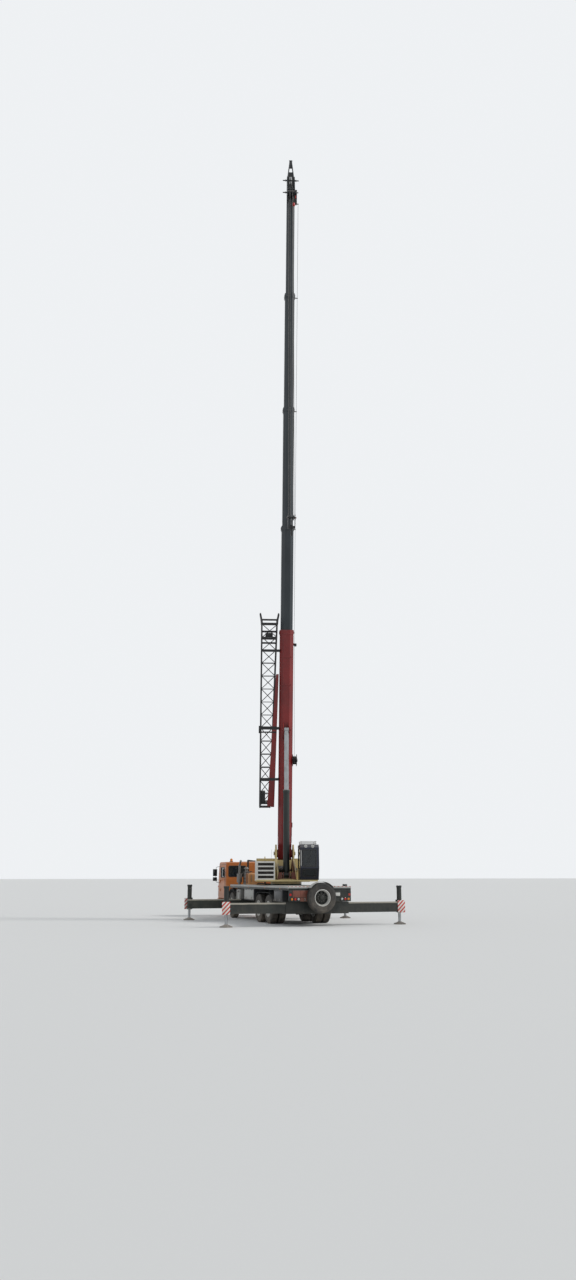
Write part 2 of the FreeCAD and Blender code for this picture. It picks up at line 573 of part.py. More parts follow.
def outriggers():
    """Two sleeve boxes under the frame, four sliding beams, four jacks with round floats."""
    pitch = s.sleeveWall / 2 + s.sleeveGap + s.beamWide / 2
    beam_top = s.beamBottom + s.beamHigh
    low, high = s.beamBottom - s.sleeveGap, beam_top + s.sleeveGap
    sleeves = []
    for line in (s.frontLineX, s.rearLineX):
        outer = pitch + s.beamWide / 2 + s.sleeveGap + s.sleeveWall
        shell = box("sleeve", (line - outer, line + outer), (-s.halfWidth, s.halfWidth),
                    (low - s.sleeveWall, high + s.sleeveWall))
        holes = []
        for way in (-1, 1):
            middle = line + way * pitch
            reach = s.beamWide / 2 + s.sleeveGap
            holes.append(box("sleeve_hole", (middle - reach, middle + reach),
                             (-s.halfWidth - 1, s.halfWidth + 1), (low, high)))
        pads = []
        for way, side in ((-1, -1), (-1, 1), (1, -1), (1, 1)):
            middle = line + way * pitch
            span = sorted((side * s.halfWidth, side * (s.halfWidth - 120)), key=number_of)
            pads.append(box("wear_pad", (middle - 60, middle + 60), span,
                            (low - 1, s.beamBottom - s.runningGap)))
        sleeves.append(fuse("sleeve_whole", cut("sleeve_cut", shell, *holes), *pads))
    node("outrigger_boxes", gather("sleeves", *sleeves))
    for name, line, side, way in OUTRIGGERS:
        x = getattr(s, line) + way * pitch
        half = s.beamWide / 2
        shell = box("beam", (x - half, x + half), (s.beamInnerY, s.jackY), (s.beamBottom, beam_top))
        hollow = box("beam_hollow", (x - half + s.beamWall, x + half - s.beamWall),
                     (s.beamInnerY - 1, s.jackY - s.jackRadius - 30),
                     (s.beamBottom + s.beamWall, beam_top - s.beamWall))
        gland_low = s.jackFoot - s.glandHigh
        barrel = rod("jack_barrel", "z", s.jackRadius, gland_low, s.jackTop, (x, s.jackY))
        cap = rod("jack_cap", "z", s.jackRadius + 14, s.jackTop - 70, s.jackTop, (x, s.jackY))
        gland = rod("jack_gland", "z", s.jackRadius + 12, gland_low, s.jackFoot, (x, s.jackY))
        bore = rod("jack_bore", "z", s.jackBore, s.jackFoot, s.jackTop - 40, (x, s.jackY))
        mouth = rod("jack_mouth", "z", s.rodRadius + s.runningGap, gland_low - 1, s.jackFoot + 1,
                    (x, s.jackY))
        saddle_y = s.jackY - s.jackRadius - 2
        saddle = box("jack_saddle", (x - half - 12, x + half + 12), (saddle_y - s.saddlePlate, saddle_y),
                     (s.beamBottom - 14, beam_top + 70))
        whole = cut("beam_whole", fuse("beam_solid", shell, barrel, cap, gland, saddle), hollow, bore, mouth)
        shaft = rod("jack_rod", "z", s.rodRadius, s.floatThick, s.rodTop, (x, s.jackY))
        plate = rod("float", "z", s.floatRadius, 0, s.floatThick, (x, s.jackY))
        dish = cone("float_dish", "z", s.floatRadius * 0.6, s.rodRadius + 12, s.floatThick,
                    s.floatCone, (x, s.jackY))
        foot = fuse("jack_whole", shaft, plate, dish)
        if side < 0:
            whole, foot = mirrored("beam_twin", whole), mirrored("jack_twin", foot)
        node(f"outrigger_beam_{name}", whole)
        node(f"outrigger_jack_{name}", foot)


def window(name, x, y, z, axis):
    """Cutter for a window or hatch: a block across a wall, its four corners rounded."""
    return eased(name, box(name + "_block", x, y, z), s.glassRound, lambda edge: runs_along(edge, axis))


def door_hinge(z, face):
    """One hinge of the left door: the door's knuckle and leaf, and the frame's pair with the pin."""
    x, y, step = s.doorFront + s.doorGap / 2, face + s.hingeOut, s.hingeHigh
    knuckle = rod("hinge_knuckle", "z", s.hingeRadius, z + 1, z + step - 1, (x, y))
    leaf = box("hinge_leaf", (s.doorFront - s.hingeLeaf, s.doorFront), (face - 1, face + 8),
               (z + 1, z + step - 1))
    bore = rod("hinge_bore", "z", s.hingePin + s.runningGap, z, z + step, (x, y))
    fixed = [rod("hinge_pin", "z", s.hingePin, z - step, z + step * 2, (x, y))]
    for low in (z - step, z + step):
        fixed.append(rod("hinge_fixed", "z", s.hingeRadius, low, low + step, (x, y)))
        fixed.append(box("hinge_seat", (s.doorFront + s.doorGap, s.doorFront + s.doorGap + s.hingeLeaf),
                         (face - 1, face + 8), (low, low + step)))
    return [knuckle, leaf], bore, fixed


def seat_loop(x, floor, high):
    """Side view of a seat: pedestal, cushion and a raked back."""
    return [(x + 120, floor), (x + 400, floor), (x + 400, floor + high - 170), (x + 520, floor + high - 150),
            (x + 540, floor + high - 20), (x + 150, floor + high), (x + 60, floor + high + 560),
            (x - 50, floor + high + 560), (x, floor + high - 100), (x + 120, floor + high - 170)]


def carrier_cab():
    """Low full-width cab: floor, rear wall, roof, front and side frames, two doors."""
    t = s.cabSkin
    w = s.halfWidth - 10
    floor_top = s.cabFloor + 40
    head = s.cabHead - s.doorHead
    node("cab_floor", box("cab_floor", (s.cabRear + t, s.cabFront - t), (-w + t, w - t),
                          (s.cabFloor, floor_top)))
    wall = eased("rear_wall_eased", box("rear_wall", (s.cabRear, s.cabRear + t), (-w, w), (s.cabFloor, s.cabHead)),
                 s.cabRound, lambda edge: runs_along(edge, "z") and edge.CenterOfMass.x < s.cabRear.number + 1)
    panes = [window("rear_window", (s.cabRear - 1, s.cabRear + t + 1), span,
                    (s.cabBelt + 60, s.cabHead - s.windowEdge), "x")
             for span in ((-w + 120, Size(-300)), (Size(300), w - 120))]
    node("cab_rear_wall", cut("rear_wall_whole", wall, *panes))
    roof = prism("roof", "xz", -w, w, [
        (s.cabRear, s.cabHead), (s.cabFront - s.cabSlant, s.cabHead),
        (s.cabFront - s.cabSlant - 60, s.cabRoof - 25), (s.cabFront - s.cabSlant - 200, s.cabRoof),
        (s.cabRear + 60, s.cabRoof), (s.cabRear, s.cabRoof - 40)])
    node("cab_roof", eased("roof_eased", roof, s.cabRound, lambda edge: runs_along(edge, "x")
                           and edge.CenterOfMass.z > s.cabRoof.number - 1))
    shell = prism("front_shell", "xz", -w, w, [
        (s.cabFront, s.cabSill), (s.cabFront, s.cabBelt), (s.cabFront - s.cabSlant, s.cabHead),
        (s.cabFront - s.cabSlant - t, s.cabHead), (s.cabFront - t, s.cabBelt), (s.cabFront - t, s.cabSill)])
    screens = [window("screen", (s.cabFront - 400, s.cabFront + 10), span,
                      (s.cabBelt + 40, s.cabHead - s.windowEdge), "x")
               for span in ((-w + 110, Size(-40)), (Size(40), w - 110))]
    grille = [box("grille_slot", (s.cabFront - 14, s.cabFront + 1), (-420, 420), (low, low + 34))
              for low in [s.cabSill + 150 + 70 * i for i in range(5)]]
    face = eased("front_eased", shell, s.cabRound - 2, lambda edge: runs_along(edge, "z")
                 and edge.CenterOfMass.x > s.cabFront.number - 1)
    node("cab_front_wall", cut("front_wall", face, *screens, *grille))
    top_front = s.cabFront - s.cabSlant - t
    sides = [prism("side_frame", "xz", w - t, w, loop) for loop in (
        [(s.doorFront + s.doorGap, floor_top), (s.cabFront - t, floor_top), (s.cabFront - t, s.cabBelt),
         (top_front, s.cabHead), (s.doorFront + s.doorGap, s.cabHead)],
        [(s.doorRear - s.doorGap, floor_top), (s.cabRear + t, floor_top), (s.cabRear + t, s.cabHead),
         (s.doorRear - s.doorGap, s.cabHead)],
        [(s.doorRear - s.doorGap, head), (s.doorFront + s.doorGap, head),
         (s.doorFront + s.doorGap, s.cabHead), (s.doorRear - s.doorGap, s.cabHead)],
        [(s.cabRear + t, s.cabSill), (s.cabFront - t, s.cabSill), (s.cabFront - t, floor_top - s.doorGap),
         (s.cabRear + t, floor_top - s.doorGap)])]
    panel = prism("door", "xz", w - t, w, [
        (s.doorRear, floor_top), (s.doorFront, floor_top), (s.doorFront, head - s.doorGap),
        (s.doorRear, head - s.doorGap)])
    glass = window("door_window", (s.doorRear + s.windowEdge, s.doorFront - s.windowEdge),
                   (w - t - 1, w + 1), (s.cabBelt + 30, head - s.doorGap - s.windowEdge), "y")
    handle_x = s.doorRear + 50
    leaf = [panel, prism("door_handle", "xy", s.cabBelt - 90, s.cabBelt - 66, [
        (handle_x, w - 1), (handle_x + 20, w - 1), (handle_x + 20, w + 14), (handle_x + 120, w + 14),
        (handle_x + 120, w - 1), (handle_x + 140, w - 1), (handle_x + 140, w + 26), (handle_x, w + 26)])]
    bores = []
    for z in (s.cabFloor + 200, s.cabBelt - 160):
        moving, bore, fixed = door_hinge(z, w)
        leaf += moving
        bores.append(bore)
        sides += fixed
    step_span = (s.doorRear + 90, s.doorFront - 90)
    sides.append(box("step", step_span, (w - s.stepDeep, w), (s.stepZ, s.stepZ + 30)))
    for x in (step_span[0], step_span[1] - 12):
        sides.append(box("step_hanger", (x, x + 12), (w - s.stepDeep + 15, w - 10), (s.stepZ, s.cabSill + 10)))
    left = fuse("side_left", *sides)
    node("cab_side_frames", gather("side_frames", left, mirrored("side_right", left)))
    door = cut("door_whole", fuse("door_solid", *leaf), glass, *bores)
    node("cab_door_left", door)
    node("cab_door_right", mirrored("door_right", door))
    seats = [prism("seat", "xz", y - s.seatWide / 2, y + s.seatWide / 2,
                   seat_loop(s.cabRear + 270, floor_top, s.seatHigh)) for y in (-s.seatY, s.seatY)]
    dash = prism("dash", "xz", -w + t, w - t, [
        (s.cabFront - t, s.cabBelt - 330), (s.cabFront - t, s.cabBelt - 20), (s.cabFront - t - 60, s.cabBelt - 10),
        (s.cabFront - t - 190, s.cabBelt - 60), (s.cabFront - t - 210, s.cabBelt - 130),
        (s.cabFront - t - 120, s.cabBelt - 330)])
    hub = Vector(s.cabFront.number - 400, s.seatY.number, floor_top.number + 640)
    root = Vector(s.cabFront.number - 110, s.seatY.number, floor_top.number + 430)
    ring = new_object("Part::Torus", "wheel_ring")
    bind(ring, "Radius1", s.wheelRing)
    bind(ring, "Radius2", s.ringTube)
    ring.Placement = Placement(hub, Rotation(Vector(0, 0, 1), hub - root))
    reach = Vector(0, s.wheelRing.number, 0)
    spoke = strut("spoke", hub - reach, hub + reach, 10)
    column = strut("column", root, hub, 22)
    node("cab_interior", gather("interior", *seats, fuse("dashboard", dash, column, ring, spoke)))


def carrier_fittings():
    """Tanks, boxes, spare wheel, boom rest, exhaust, lamps and the slewing pedestal."""
    high = s.deckTop - s.deckLip
    low = high - s.boxDeep
    shell = s.halfWidth - 40
    boxes = []
    table = (  # name, rear, front, bottom, corner radius
        ("fuel_tank", s.frontLineX + 330, s.frontAxleX - 780, low, s.boxDeep * 0.2),
        ("tool_box", s.rearAxleX + 720, s.frontLineX - 330, low + 80, s.boxRound),
        ("rear_box", s.rearLineX + 330, s.rearAxleX - s.bogieSpacing - 720, low + 120, s.boxRound))
    for name, rear, front, bottom, corner in table:
        block = eased(name, box(name + "_block", (rear, front), (s.railOuterY, shell), (bottom, high)), corner,
                      lambda edge: runs_along(edge, "x") and edge.CenterOfMass.y > s.railOuterY.number + 1)
        boxes += [block, mirrored(name + "_right", block)]
    tank = eased("oil_tank", box("oil_tank_block", (s.tankRear, s.tankFront), (s.tankRight, s.tankLeft),
                                 (s.deckTop, s.tankTop)), s.tankRound,
                 lambda edge: edge.CenterOfMass.z > s.deckTop.number + 1)
    filler = rod("tank_filler", "z", 55, s.tankTop - 20, s.tankTop + 45, (s.tankRear + 120, s.tankLeft - 150))
    boxes.append(fuse("oil_tank_whole", tank, filler))
    node("side_boxes", gather("side_boxes", *boxes))
    node("slew_pedestal", fuse("pedestal_whole",
                               rod("pedestal", "z", s.slewRadius, s.frameTop, s.slewTop, (s.slewX, 0)),
                               rod("pedestal_flange", "z", s.slewRadius + 10, s.frameTop, s.frameTop + 40,
                                   (s.slewX, 0))))
    tyre = turned("spare_tyre", (Size(0), 0, 0), tyre_loop(Size(0)))
    half, wall = s.tyreWidth / 2, s.rimRadius - s.rimWall
    edge = half - s.tyreBead + 5
    disc = turned("spare_disc", (Size(0), 0, 0), [
        (-edge, s.rimRadius + 1), (-edge, wall), (10, wall), (10, s.hubRadius - 30),
        (10 + s.discThick, s.hubRadius - 30), (10 + s.discThick, wall), (edge, wall), (edge, s.rimRadius + 1)])
    spare = cut("spare", fuse("spare_solid", tyre, disc), *hand_holes((0, 0), 9, 11 + s.discThick))
    spare.Placement = Placement(Vector(s.spareX.number, 0, s.spareZ.number), Rotation(Vector(0, 0, 1), 90))
    node("spare_wheel", spare)
    mast = [(s.kneeX + 560, s.cabFrameTop), (s.kneeX + 700, s.cabFrameTop), (s.kneeX + 660, s.cabRoof + 60),
            (s.kneeX + 600, s.cabRoof + 60)]
    legs = [prism("rest_leg", "xz", Size(y), Size(y + 70), mast) for y in (-440, 370)]
    half = s.boomWide / 2
    saddle = prism("rest_saddle", "yz", s.kneeX + 570, s.kneeX + 690, [
        (-half - 130, s.cabRoof + 10), (half + 130, s.cabRoof + 10), (half + 130, s.cabRoof + 90),
        (half * 0.55, s.cabRoof + 60), (-half * 0.55, s.cabRoof + 60), (-half - 130, s.cabRoof + 90)])
    tie = box("rest_tie", (s.kneeX + 610, s.kneeX + 650), (-400, 400), (s.deckTop + 300, s.deckTop + 370))
    node("boom_rest", fuse("rest", saddle, tie, *legs))
    pipe_x, pipe_y, bend_z = s.deckFront - 160, 870, s.cabHead - 60
    outlet = Vector(pipe_x.number - 190, pipe_y, bend_z.number + 210)
    stack = fuse("stack", rod("silencer", "z", 120, s.deckTop + 90, s.cabHead - 420, (pipe_x, pipe_y)),
                 rod("silencer_foot", "z", 60, s.deckTop, s.deckTop + 95, (pipe_x, pipe_y)),
                 rod("tail_pipe", "z", 52, s.cabHead - 430, bend_z, (pipe_x, pipe_y)),
                 round_bar("tail_bend", Vector(pipe_x.number, pipe_y, bend_z.number), outlet, 46))
    cleaner = fuse("cleaner", rod("air_filter", "z", 140, s.deckTop, s.cabHead - 330, (s.deckFront - 200, 560)),
                   cone("filter_neck", "z", 70, 70, s.cabHead - 335, s.cabHead - 200, (s.deckFront - 200, 560)),
                   cone("filter_cap", "z", 120, 60, s.cabHead - 205, s.cabHead - 130, (s.deckFront - 200, 560)))
    node("exhaust_and_filter", gather("stacks", stack, cleaner))
    plate_rear = s.frameTail - s.tailPlate
    lamps = [rod("tail_lamp", "x", s.tailLamp, plate_rear - 30, plate_rear + 5, (y, 980))
             for y in (-1120, -990, -860, 860, 990, 1120)]
    plate = box("tail_plate", (plate_rear, s.frameTail), (-s.halfWidth + 20, s.halfWidth - 20),
                (s.frameBottom + 20, s.deckTop - s.deckLip))
    stub = rod("spare_stub", "x", 80, s.spareX - 10, plate_rear, (0, s.spareZ))
    flange = rod("spare_flange", "x", 150, s.spareX - 10, s.spareX + 8, (0, s.spareZ))
    node("tail_beam", fuse("tail", plate, stub, flange, *lamps))
    heads = [fuse("head_lamp", rod("head_lamp_body", "x", s.headLamp, s.cabFront, s.cabFront + 30, (y, 940)),
                  cone("head_lamp_lens", "x", s.headLamp - 12, s.headLamp - 40, s.cabFront + 30, s.cabFront + 42,
                       (y, 940)))
             for y in (-1020, 1020)]
    node("head_lamps", gather("head_lamps", *heads))


def superstructure():
    """Slewing table with its cheeks, boom and cylinder pins, counterweight and housings."""
    ring = rod("ring", "z", s.slewRadius, s.slewTop + s.runningGap, s.tableTop - s.tableThick + 5, (0, 0))
    base = box("table", (s.tailRear + 400, 1000), (-s.upCabOuter, s.upCabOuter),
               (s.tableTop - s.tableThick, s.tableTop))
    nose = s.ramX + 420
    inner, outer = s.cheekInner, s.cheekInner + s.cheekThick
    side = [(s.drumX - 320, s.tableTop - 5), (s.drumX - 320, s.drumZ + 120), (s.drumX - 150, s.drumZ + 300),
            (s.footX - 420, s.drumZ + 380), (s.footX - 230, s.footZ + s.cheekTop - 110),
            (s.footX - 120, s.footZ + s.cheekTop), (s.footX + 120, s.footZ + s.cheekTop),
            (s.footX + 230, s.footZ + s.cheekTop - 110), (s.footX + 420, s.footZ - 260),
            (s.ramX + 60, s.ramZ + 260), (nose, s.ramZ + 160), (nose, s.tableTop - 5)]
    cheek = prism("cheek", "xz", inner, outer, side)
    boss = rod("foot_boss_out", "y", s.footBoss, inner + 5, outer + 25, (s.footX, s.footZ))
    lightening = rod("cheek_hole", "y", s.cheekHole, inner - 1, outer + 1, (s.footX + 250, s.ramZ + 180))
    cheek = cut("cheek_cut", fuse("cheek_boss", cheek, boss), lightening)
    ear = prism("ram_ear", "xz", s.ramEyeHalf + 8, s.ramEyeHalf + 48, [
        (s.ramX - 180, s.tableTop - 5), (s.ramX - 90, s.ramZ + 70), (s.ramX, s.ramZ + 110),
        (s.ramX + 90, s.ramZ + 70), (s.ramX + 180, s.tableTop - 5)])
    notch, top = s.tableTop + s.saddleDrop, s.tableTop + s.saddleHigh
    saddle = prism("cross_panel", "yz", nose - 30, nose, [
        (-inner - 5, s.tableTop - 5), (inner + 5, s.tableTop - 5), (inner + 5, top), (s.saddleHalf, top),
        (s.saddleHalf, notch), (-s.saddleHalf, notch), (-s.saddleHalf, top), (-inner - 5, top)])
    back = box("rear_web", (s.drumX - 320, s.drumX - 290), (-inner - 5, inner + 5),
               (s.tableTop - 5, s.drumZ - s.drumFlange))
    pins = [rod("foot_pin", "y", s.footPin, -outer - 45, outer + 45, (s.footX, s.footZ)),
            rod("ram_pin", "y", s.ramPin, -s.ramEyeHalf - 60, s.ramEyeHalf + 60, (s.ramX, s.ramZ)),
            rod("drum_shaft", "y", s.drumShaft, -inner - 20, inner + 20, (s.drumX, s.drumZ))]
    whole = fuse("table_whole", ring, base, cheek, mirrored("cheek_right", cheek), ear,
                 mirrored("ear_right", ear), saddle, back, *pins)
    node("turntable", whole, up_frame)
    weight = eased("weight_eased", prism("weight", "xy", s.tailBottom, s.tailTop, [
        (s.tailFront, -1180), (s.tailFront, 1180), (s.tailFront - 180, 1180), (s.tailRear, 800),
        (s.tailRear, -800), (s.tailFront - 180, -1180)]), s.tailRound,
        lambda edge: runs_along(edge, "z") and edge.CenterOfMass.x < s.tailFront.number - 1)
    keep = box("weight_slot", (s.tailRear + 395, s.tailFront + 1), (-1300, 1300),
               (s.tailBottom - 1, s.tableTop))
    lugs = [prism("weight_lug", "xz", Size(y), Size(y + 40), [
        (s.tailFront - 330, s.tailTop - 5), (s.tailFront - 290, s.tailTop + 80), (s.tailFront - 190, s.tailTop + 80),
        (s.tailFront - 150, s.tailTop - 5)]) for y in (-820, 780)]
    eyes = rod("lug_eye", "y", 26, -900, 900, (s.tailFront - 240, s.tailTop + 40))
    node("counterweight", cut("weight_cut", fuse("weight_solid", weight, *lugs), keep, eyes), up_frame)
    drum_bore = s.drumShaft + s.runningGap
    drum = turned("drum", (s.drumX, 0, s.drumZ), [
        (-s.drumHalf, drum_bore), (-s.drumHalf, s.drumFlange), (-s.drumHalf + 18, s.drumFlange),
        (-s.drumHalf + 18, s.drumRadius), (s.drumHalf - 18, s.drumRadius),
        (s.drumHalf - 18, s.drumFlange), (s.drumHalf, s.drumFlange), (s.drumHalf, drum_bore)])
    node("winch_drum", gather("drum_whole", drum), up_frame)
    housing = eased("cooler", box("cooler_block", (s.coolerRear, s.coolerFront), (s.coolerOuter, s.coolerInner),
                                  (s.tableTop, s.coolerTop)), s.coolerRound,
                    lambda edge: edge.CenterOfMass.z > s.coolerTop.number - 1)
    count = int(s.louvreCount.number)
    pitch = (s.coolerTop - s.tableTop - 60) / count
    gaps = [box("louvre_gap", (s.coolerFront - 220, s.coolerFront + 1),
                (s.coolerOuter + 50, s.coolerInner - 50), (low, low + pitch - s.slatThick))
            for low in [s.tableTop + 60 + i * pitch for i in range(count)]]
    node("cooler_housing", cut("cooler_whole", housing, *gaps), up_frame)


def operator_cab():
    t = s.upCabSkin
    low = s.tableTop
    side = [(s.upCabRear, low), (s.upCabFront - s.upCabSlant, low), (s.upCabFront, s.upCabBelt),
            (s.upCabFront - 60, s.upCabTop - 120), (s.upCabFront - 260, s.upCabTop), (s.upCabRear, s.upCabTop)]
    hollow = [(s.upCabRear + t, low + t), (s.upCabFront - s.upCabSlant - t, low + t),
              (s.upCabFront - t, s.upCabBelt), (s.upCabFront - 60 - t, s.upCabTop - 120 - t),
              (s.upCabFront - 260 - t, s.upCabTop - t), (s.upCabRear + t, s.upCabTop - t)]
    shell = prism("up_shell", "xz", s.upCabInner, s.upCabOuter, side)
    room = prism("up_room", "xz", s.upCabInner + t, s.upCabOuter + 1, hollow)
    post = s.upCabPost
    screen = window("up_screen", (s.upCabFront - 200, s.upCabFront + 50),
                    (s.upCabInner + post, s.upCabOuter - post), (s.upCabBelt + 60, s.upCabTop - 200), "x")
    lower = window("up_lower", (s.upCabFront - 300, s.upCabFront + 50),
                   (s.upCabInner + post, s.upCabOuter - post), (low + 130, s.upCabBelt - 40), "x")
    side_window = window("up_side", (s.upCabRear + post + 30, s.upCabFront - 300),
                         (s.upCabInner - 1, s.upCabInner + t + 1), (s.upCabBelt, s.upCabTop - 160), "y")
    rear_window = window("up_rear", (s.upCabRear - 1, s.upCabRear + t + 1),
                         (s.upCabInner + post + 20, s.upCabOuter - post - 20),
                         (s.upCabBelt + 120, s.upCabTop - 160), "x")
    hatch = window("up_hatch", (s.upCabRear + 260, s.upCabFront - 480),
                   (s.upCabInner + post + 40, s.upCabOuter - post - 40), (s.upCabTop - t - 1, s.upCabTop + 1), "z")
    rail = box("door_rail", (s.upCabRear - 700, s.upCabFront - 300), (s.upCabOuter - 5, s.upCabOuter + 42),
               (s.upCabTop - 20 + s.runningGap, s.upCabTop))
    body = cut("up_cab", shell, room, screen, lower, side_window, rear_window, hatch)
    node("operator_cab", fuse("up_cab_whole", body, rail), up_frame)
    door = prism("up_door", "xz", s.upCabOuter + 6, s.upCabOuter + 36, [
        (s.upCabRear, low), (s.upCabFront - s.upCabSlant, low), (s.upCabFront, s.upCabBelt),
        (s.upCabFront - 60, s.upCabTop - 120), (s.upCabFront - 260, s.upCabTop - 20),
        (s.upCabRear, s.upCabTop - 20)])
    pane = eased("up_door_glass", prism("up_door_pane", "xz", s.upCabOuter + 5, s.upCabOuter + 37, [
        (s.upCabRear + 100, s.upCabBelt), (s.upCabFront - 160, s.upCabBelt + 30),
        (s.upCabFront - 300, s.upCabTop - 160), (s.upCabRear + 100, s.upCabTop - 160)]), s.glassRound,
        lambda edge: runs_along(edge, "y"))
    grip_x = s.upCabRear + 60
    grip = prism("up_door_grip", "xy", s.upCabBelt - 130, s.upCabBelt - 106, [
        (grip_x, s.upCabOuter + 35), (grip_x + 20, s.upCabOuter + 35), (grip_x + 20, s.upCabOuter + 50),
        (grip_x + 120, s.upCabOuter + 50), (grip_x + 120, s.upCabOuter + 35), (grip_x + 140, s.upCabOuter + 35),
        (grip_x + 140, s.upCabOuter + 62), (grip_x, s.upCabOuter + 62)])
    node("operator_door", fuse("up_door_whole", cut("up_door_cut", door, pane), grip), up_frame)
    seat = prism("op_seat", "xz", s.upCabInner + 120, s.upCabOuter - 120,
                 seat_loop(s.upCabRear + 170, low + t, s.seatHigh + 60))
    node("operator_seat", gather("op_seat_whole", seat), up_frame)


def section_loop(wide, high, middle, inset):
    """Eight-sided boom section: bevelled back, deeper bevelled belly, shrunk by an inset."""
    bevel = 0.586 * inset
    top = wide * 0.12 - bevel
    low = wide * 0.26 - bevel
    half = wide / 2 - inset
    roof = middle + high / 2 - inset
    belly = middle - high / 2 + inset
    return [(-half, belly + low), (-half + low, belly), (half - low, belly), (half, belly + low),
            (half, roof - top), (half - top, roof), (-half + top, roof), (-half, roof - top)]


def rope_guide(along, back):
    """Roller in two ears on the boom's back, all rollers level with each other."""
    roller_z = s.boomBelly + s.boomHigh + s.guideRise
    pieces = [rod("guide_roller", "y", s.guideRoller, -s.guideHalf, s.guideHalf, (along, roller_z))]
    for side in (-1, 1):
        span = sorted((side * s.guideHalf, side * (s.guideHalf + 12)), key=number_of)
        top = roller_z + s.guideRoller + 9
        pieces.append(prism("guide_ear", "xz", *span, [
            (along - 62, back - 4), (along - 38, top), (along + 38, top), (along + 62, back - 4)]))
    return pieces


def boom():
    middle = s.boomBelly + s.boomHigh / 2
    wall = s.sectionWall
    tube = prism("base_tube", "yz", Size(420), s.baseTip, section_loop(s.boomWide, s.boomHigh, middle, 0),
                 section_loop(s.boomWide, s.boomHigh, middle, wall))
    foot = prism("base_foot", "xz", -s.boomWide / 2 + 2, s.boomWide / 2 - 2, [
        (s.baseFoot + 90, s.boomBelly + 80), (Size(430), s.boomBelly + 2), (Size(430), s.boomBelly + s.boomHigh - 2),
        (Size(60), s.boomBelly + s.boomHigh - 60), (s.baseFoot, Size(120)), (s.baseFoot, Size(-80))])
    boss = rod("foot_boss", "y", s.footBoss, -s.cheekInner + 8, s.cheekInner - 8, (0, 0))
    bore = rod("foot_bore", "y", s.footPin + s.runningGap, -s.boomWide, s.boomWide, (0, 0))
    collar = prism("base_collar", "yz", s.baseTip - s.collarLength, s.baseTip,
                   section_loop(s.boomWide, s.boomHigh, middle, -s.collarProud),
                   section_loop(s.wide1, s.high1, middle, -s.runningGap))
    ears = []
    for side in (-1, 1):
        low, high = sorted((side * (s.ramEyeHalf + 8), side * (s.ramEyeHalf + 44)), key=number_of)
        ears.append(prism("rod_ear", "xz", low, high, [
            (s.eyeAlong - 420, s.boomBelly + 4), (s.eyeAlong - 90, s.eyeDrop - 70),
            (s.eyeAlong + 90, s.eyeDrop - 70), (s.eyeAlong + 300, s.boomBelly + 4)]))
        low, high = sorted((side * (s.ramEyeHalf + 44), side * (s.ramEyeHalf + 90)), key=number_of)
        ears.append(rod("rod_pin_end", "y", s.ramPin + 14, low, high, (s.eyeAlong, s.eyeDrop)))
    for along in (s.guideLow, s.guideHigh, s.baseTip - s.collarLength / 2):
        ears += rope_guide(along, s.boomBelly + s.boomHigh)
    whole = cut("base_whole", fuse("base_solid", tube, foot, boss, collar, *ears), bore)
    node("boom_base", whole, boom_frame)
    table = (  # tip, width, height
        (s.tip1, s.wide1, s.high1), (s.tip2, s.wide2, s.high2), (s.tip3, s.wide3, s.high3),
        (s.tip4, s.wide4, s.high4))
    for i, (tip, wide, high) in enumerate(table, start=1):
        section = prism("section", "yz", tip - s.sectionLength, tip,
                        section_loop(wide, high, middle, 0), section_loop(wide, high, middle, wall))
        parts = [section]
        if i < 4:
            inner_wide, inner_high = table[i][1:]
            parts.append(prism("collar", "yz", tip - s.collarLength, tip,
                               section_loop(wide, high, middle, -s.collarProud),
                               section_loop(inner_wide, inner_high, middle, -s.runningGap)))
            parts += rope_guide(tip - s.collarLength / 2, middle + high / 2)
            node(f"boom_section_{i}", fuse("section_whole", *parts), boom_frame)
    half = s.wide4 / 2
    start, axle_x, upper_x, top_x = (s.tip4 - s.headStart, s.tip4 + s.headAxle, s.tip4 + s.headUpper,
                                     s.tip4 + s.headTip)
    axle_z = middle - s.headAxleDrop
    plate = prism("head_cheek", "xz", half - s.headPlate, half, [
        (start, middle + s.high4 / 2 - 45), (start, middle - s.high4 / 2 + 95),
        (axle_x - 170, axle_z - 60), (axle_x - 80, axle_z - 130), (axle_x + 80, axle_z - 130),
        (axle_x + 170, axle_z - 60), (upper_x + 120, middle - 60), (upper_x + 150, middle + 90),
        (upper_x + 60, middle + 200), (s.tip4 + 60, middle + s.high4 / 2 - 45)])
    windows = [rod("head_hole", "y", s.headHole, half - s.headPlate - 1, half + 1, across)
               for across in ((s.tip4 + 330, middle + 20), (s.tip4 + 600, middle + 40))]
    cheek = cut("head_cheek_cut", plate, *windows)
    pins = [rod("head_axle", "y", s.headAxleRadius, -half - s.headPinOut, half + s.headPinOut, across)
            for across in ((axle_x, axle_z), (upper_x, middle + 60))]
    tip_z = middle + 190
    pins.append(rod("head_tip_pin", "y", 24, Size(-70), Size(70), (top_x, tip_z)))
    for side in (-1, 1):
        foot = Vector((upper_x + 60).number, side * (half - 30).number, (middle + 120).number)
        pins.append(round_bar("head_leg", foot, Vector(top_x.number, side * 30, tip_z.number), 26))
        pins.append(rod("leg_seat", "y", 40, *sorted((side * (half - 2), side * (half - 60)), key=number_of),
                        (upper_x + 60, middle + 120)))
    sheaves = [sheave("hoist_sheave", (axle_x, axle_z), side * s.fallSpread, s.sheaveRadius,
                      s.headAxleRadius - 2) for side in (-1, 1)]
    sheaves.append(sheave("top_sheave", (upper_x, middle + 60), 0, s.sheaveRadius - 40,
                          s.headAxleRadius - 2))
    node("boom_section_4", fuse("section4_whole", section, cheek, mirrored("head_cheek_right", cheek),
                                *pins, *sheaves), boom_frame)


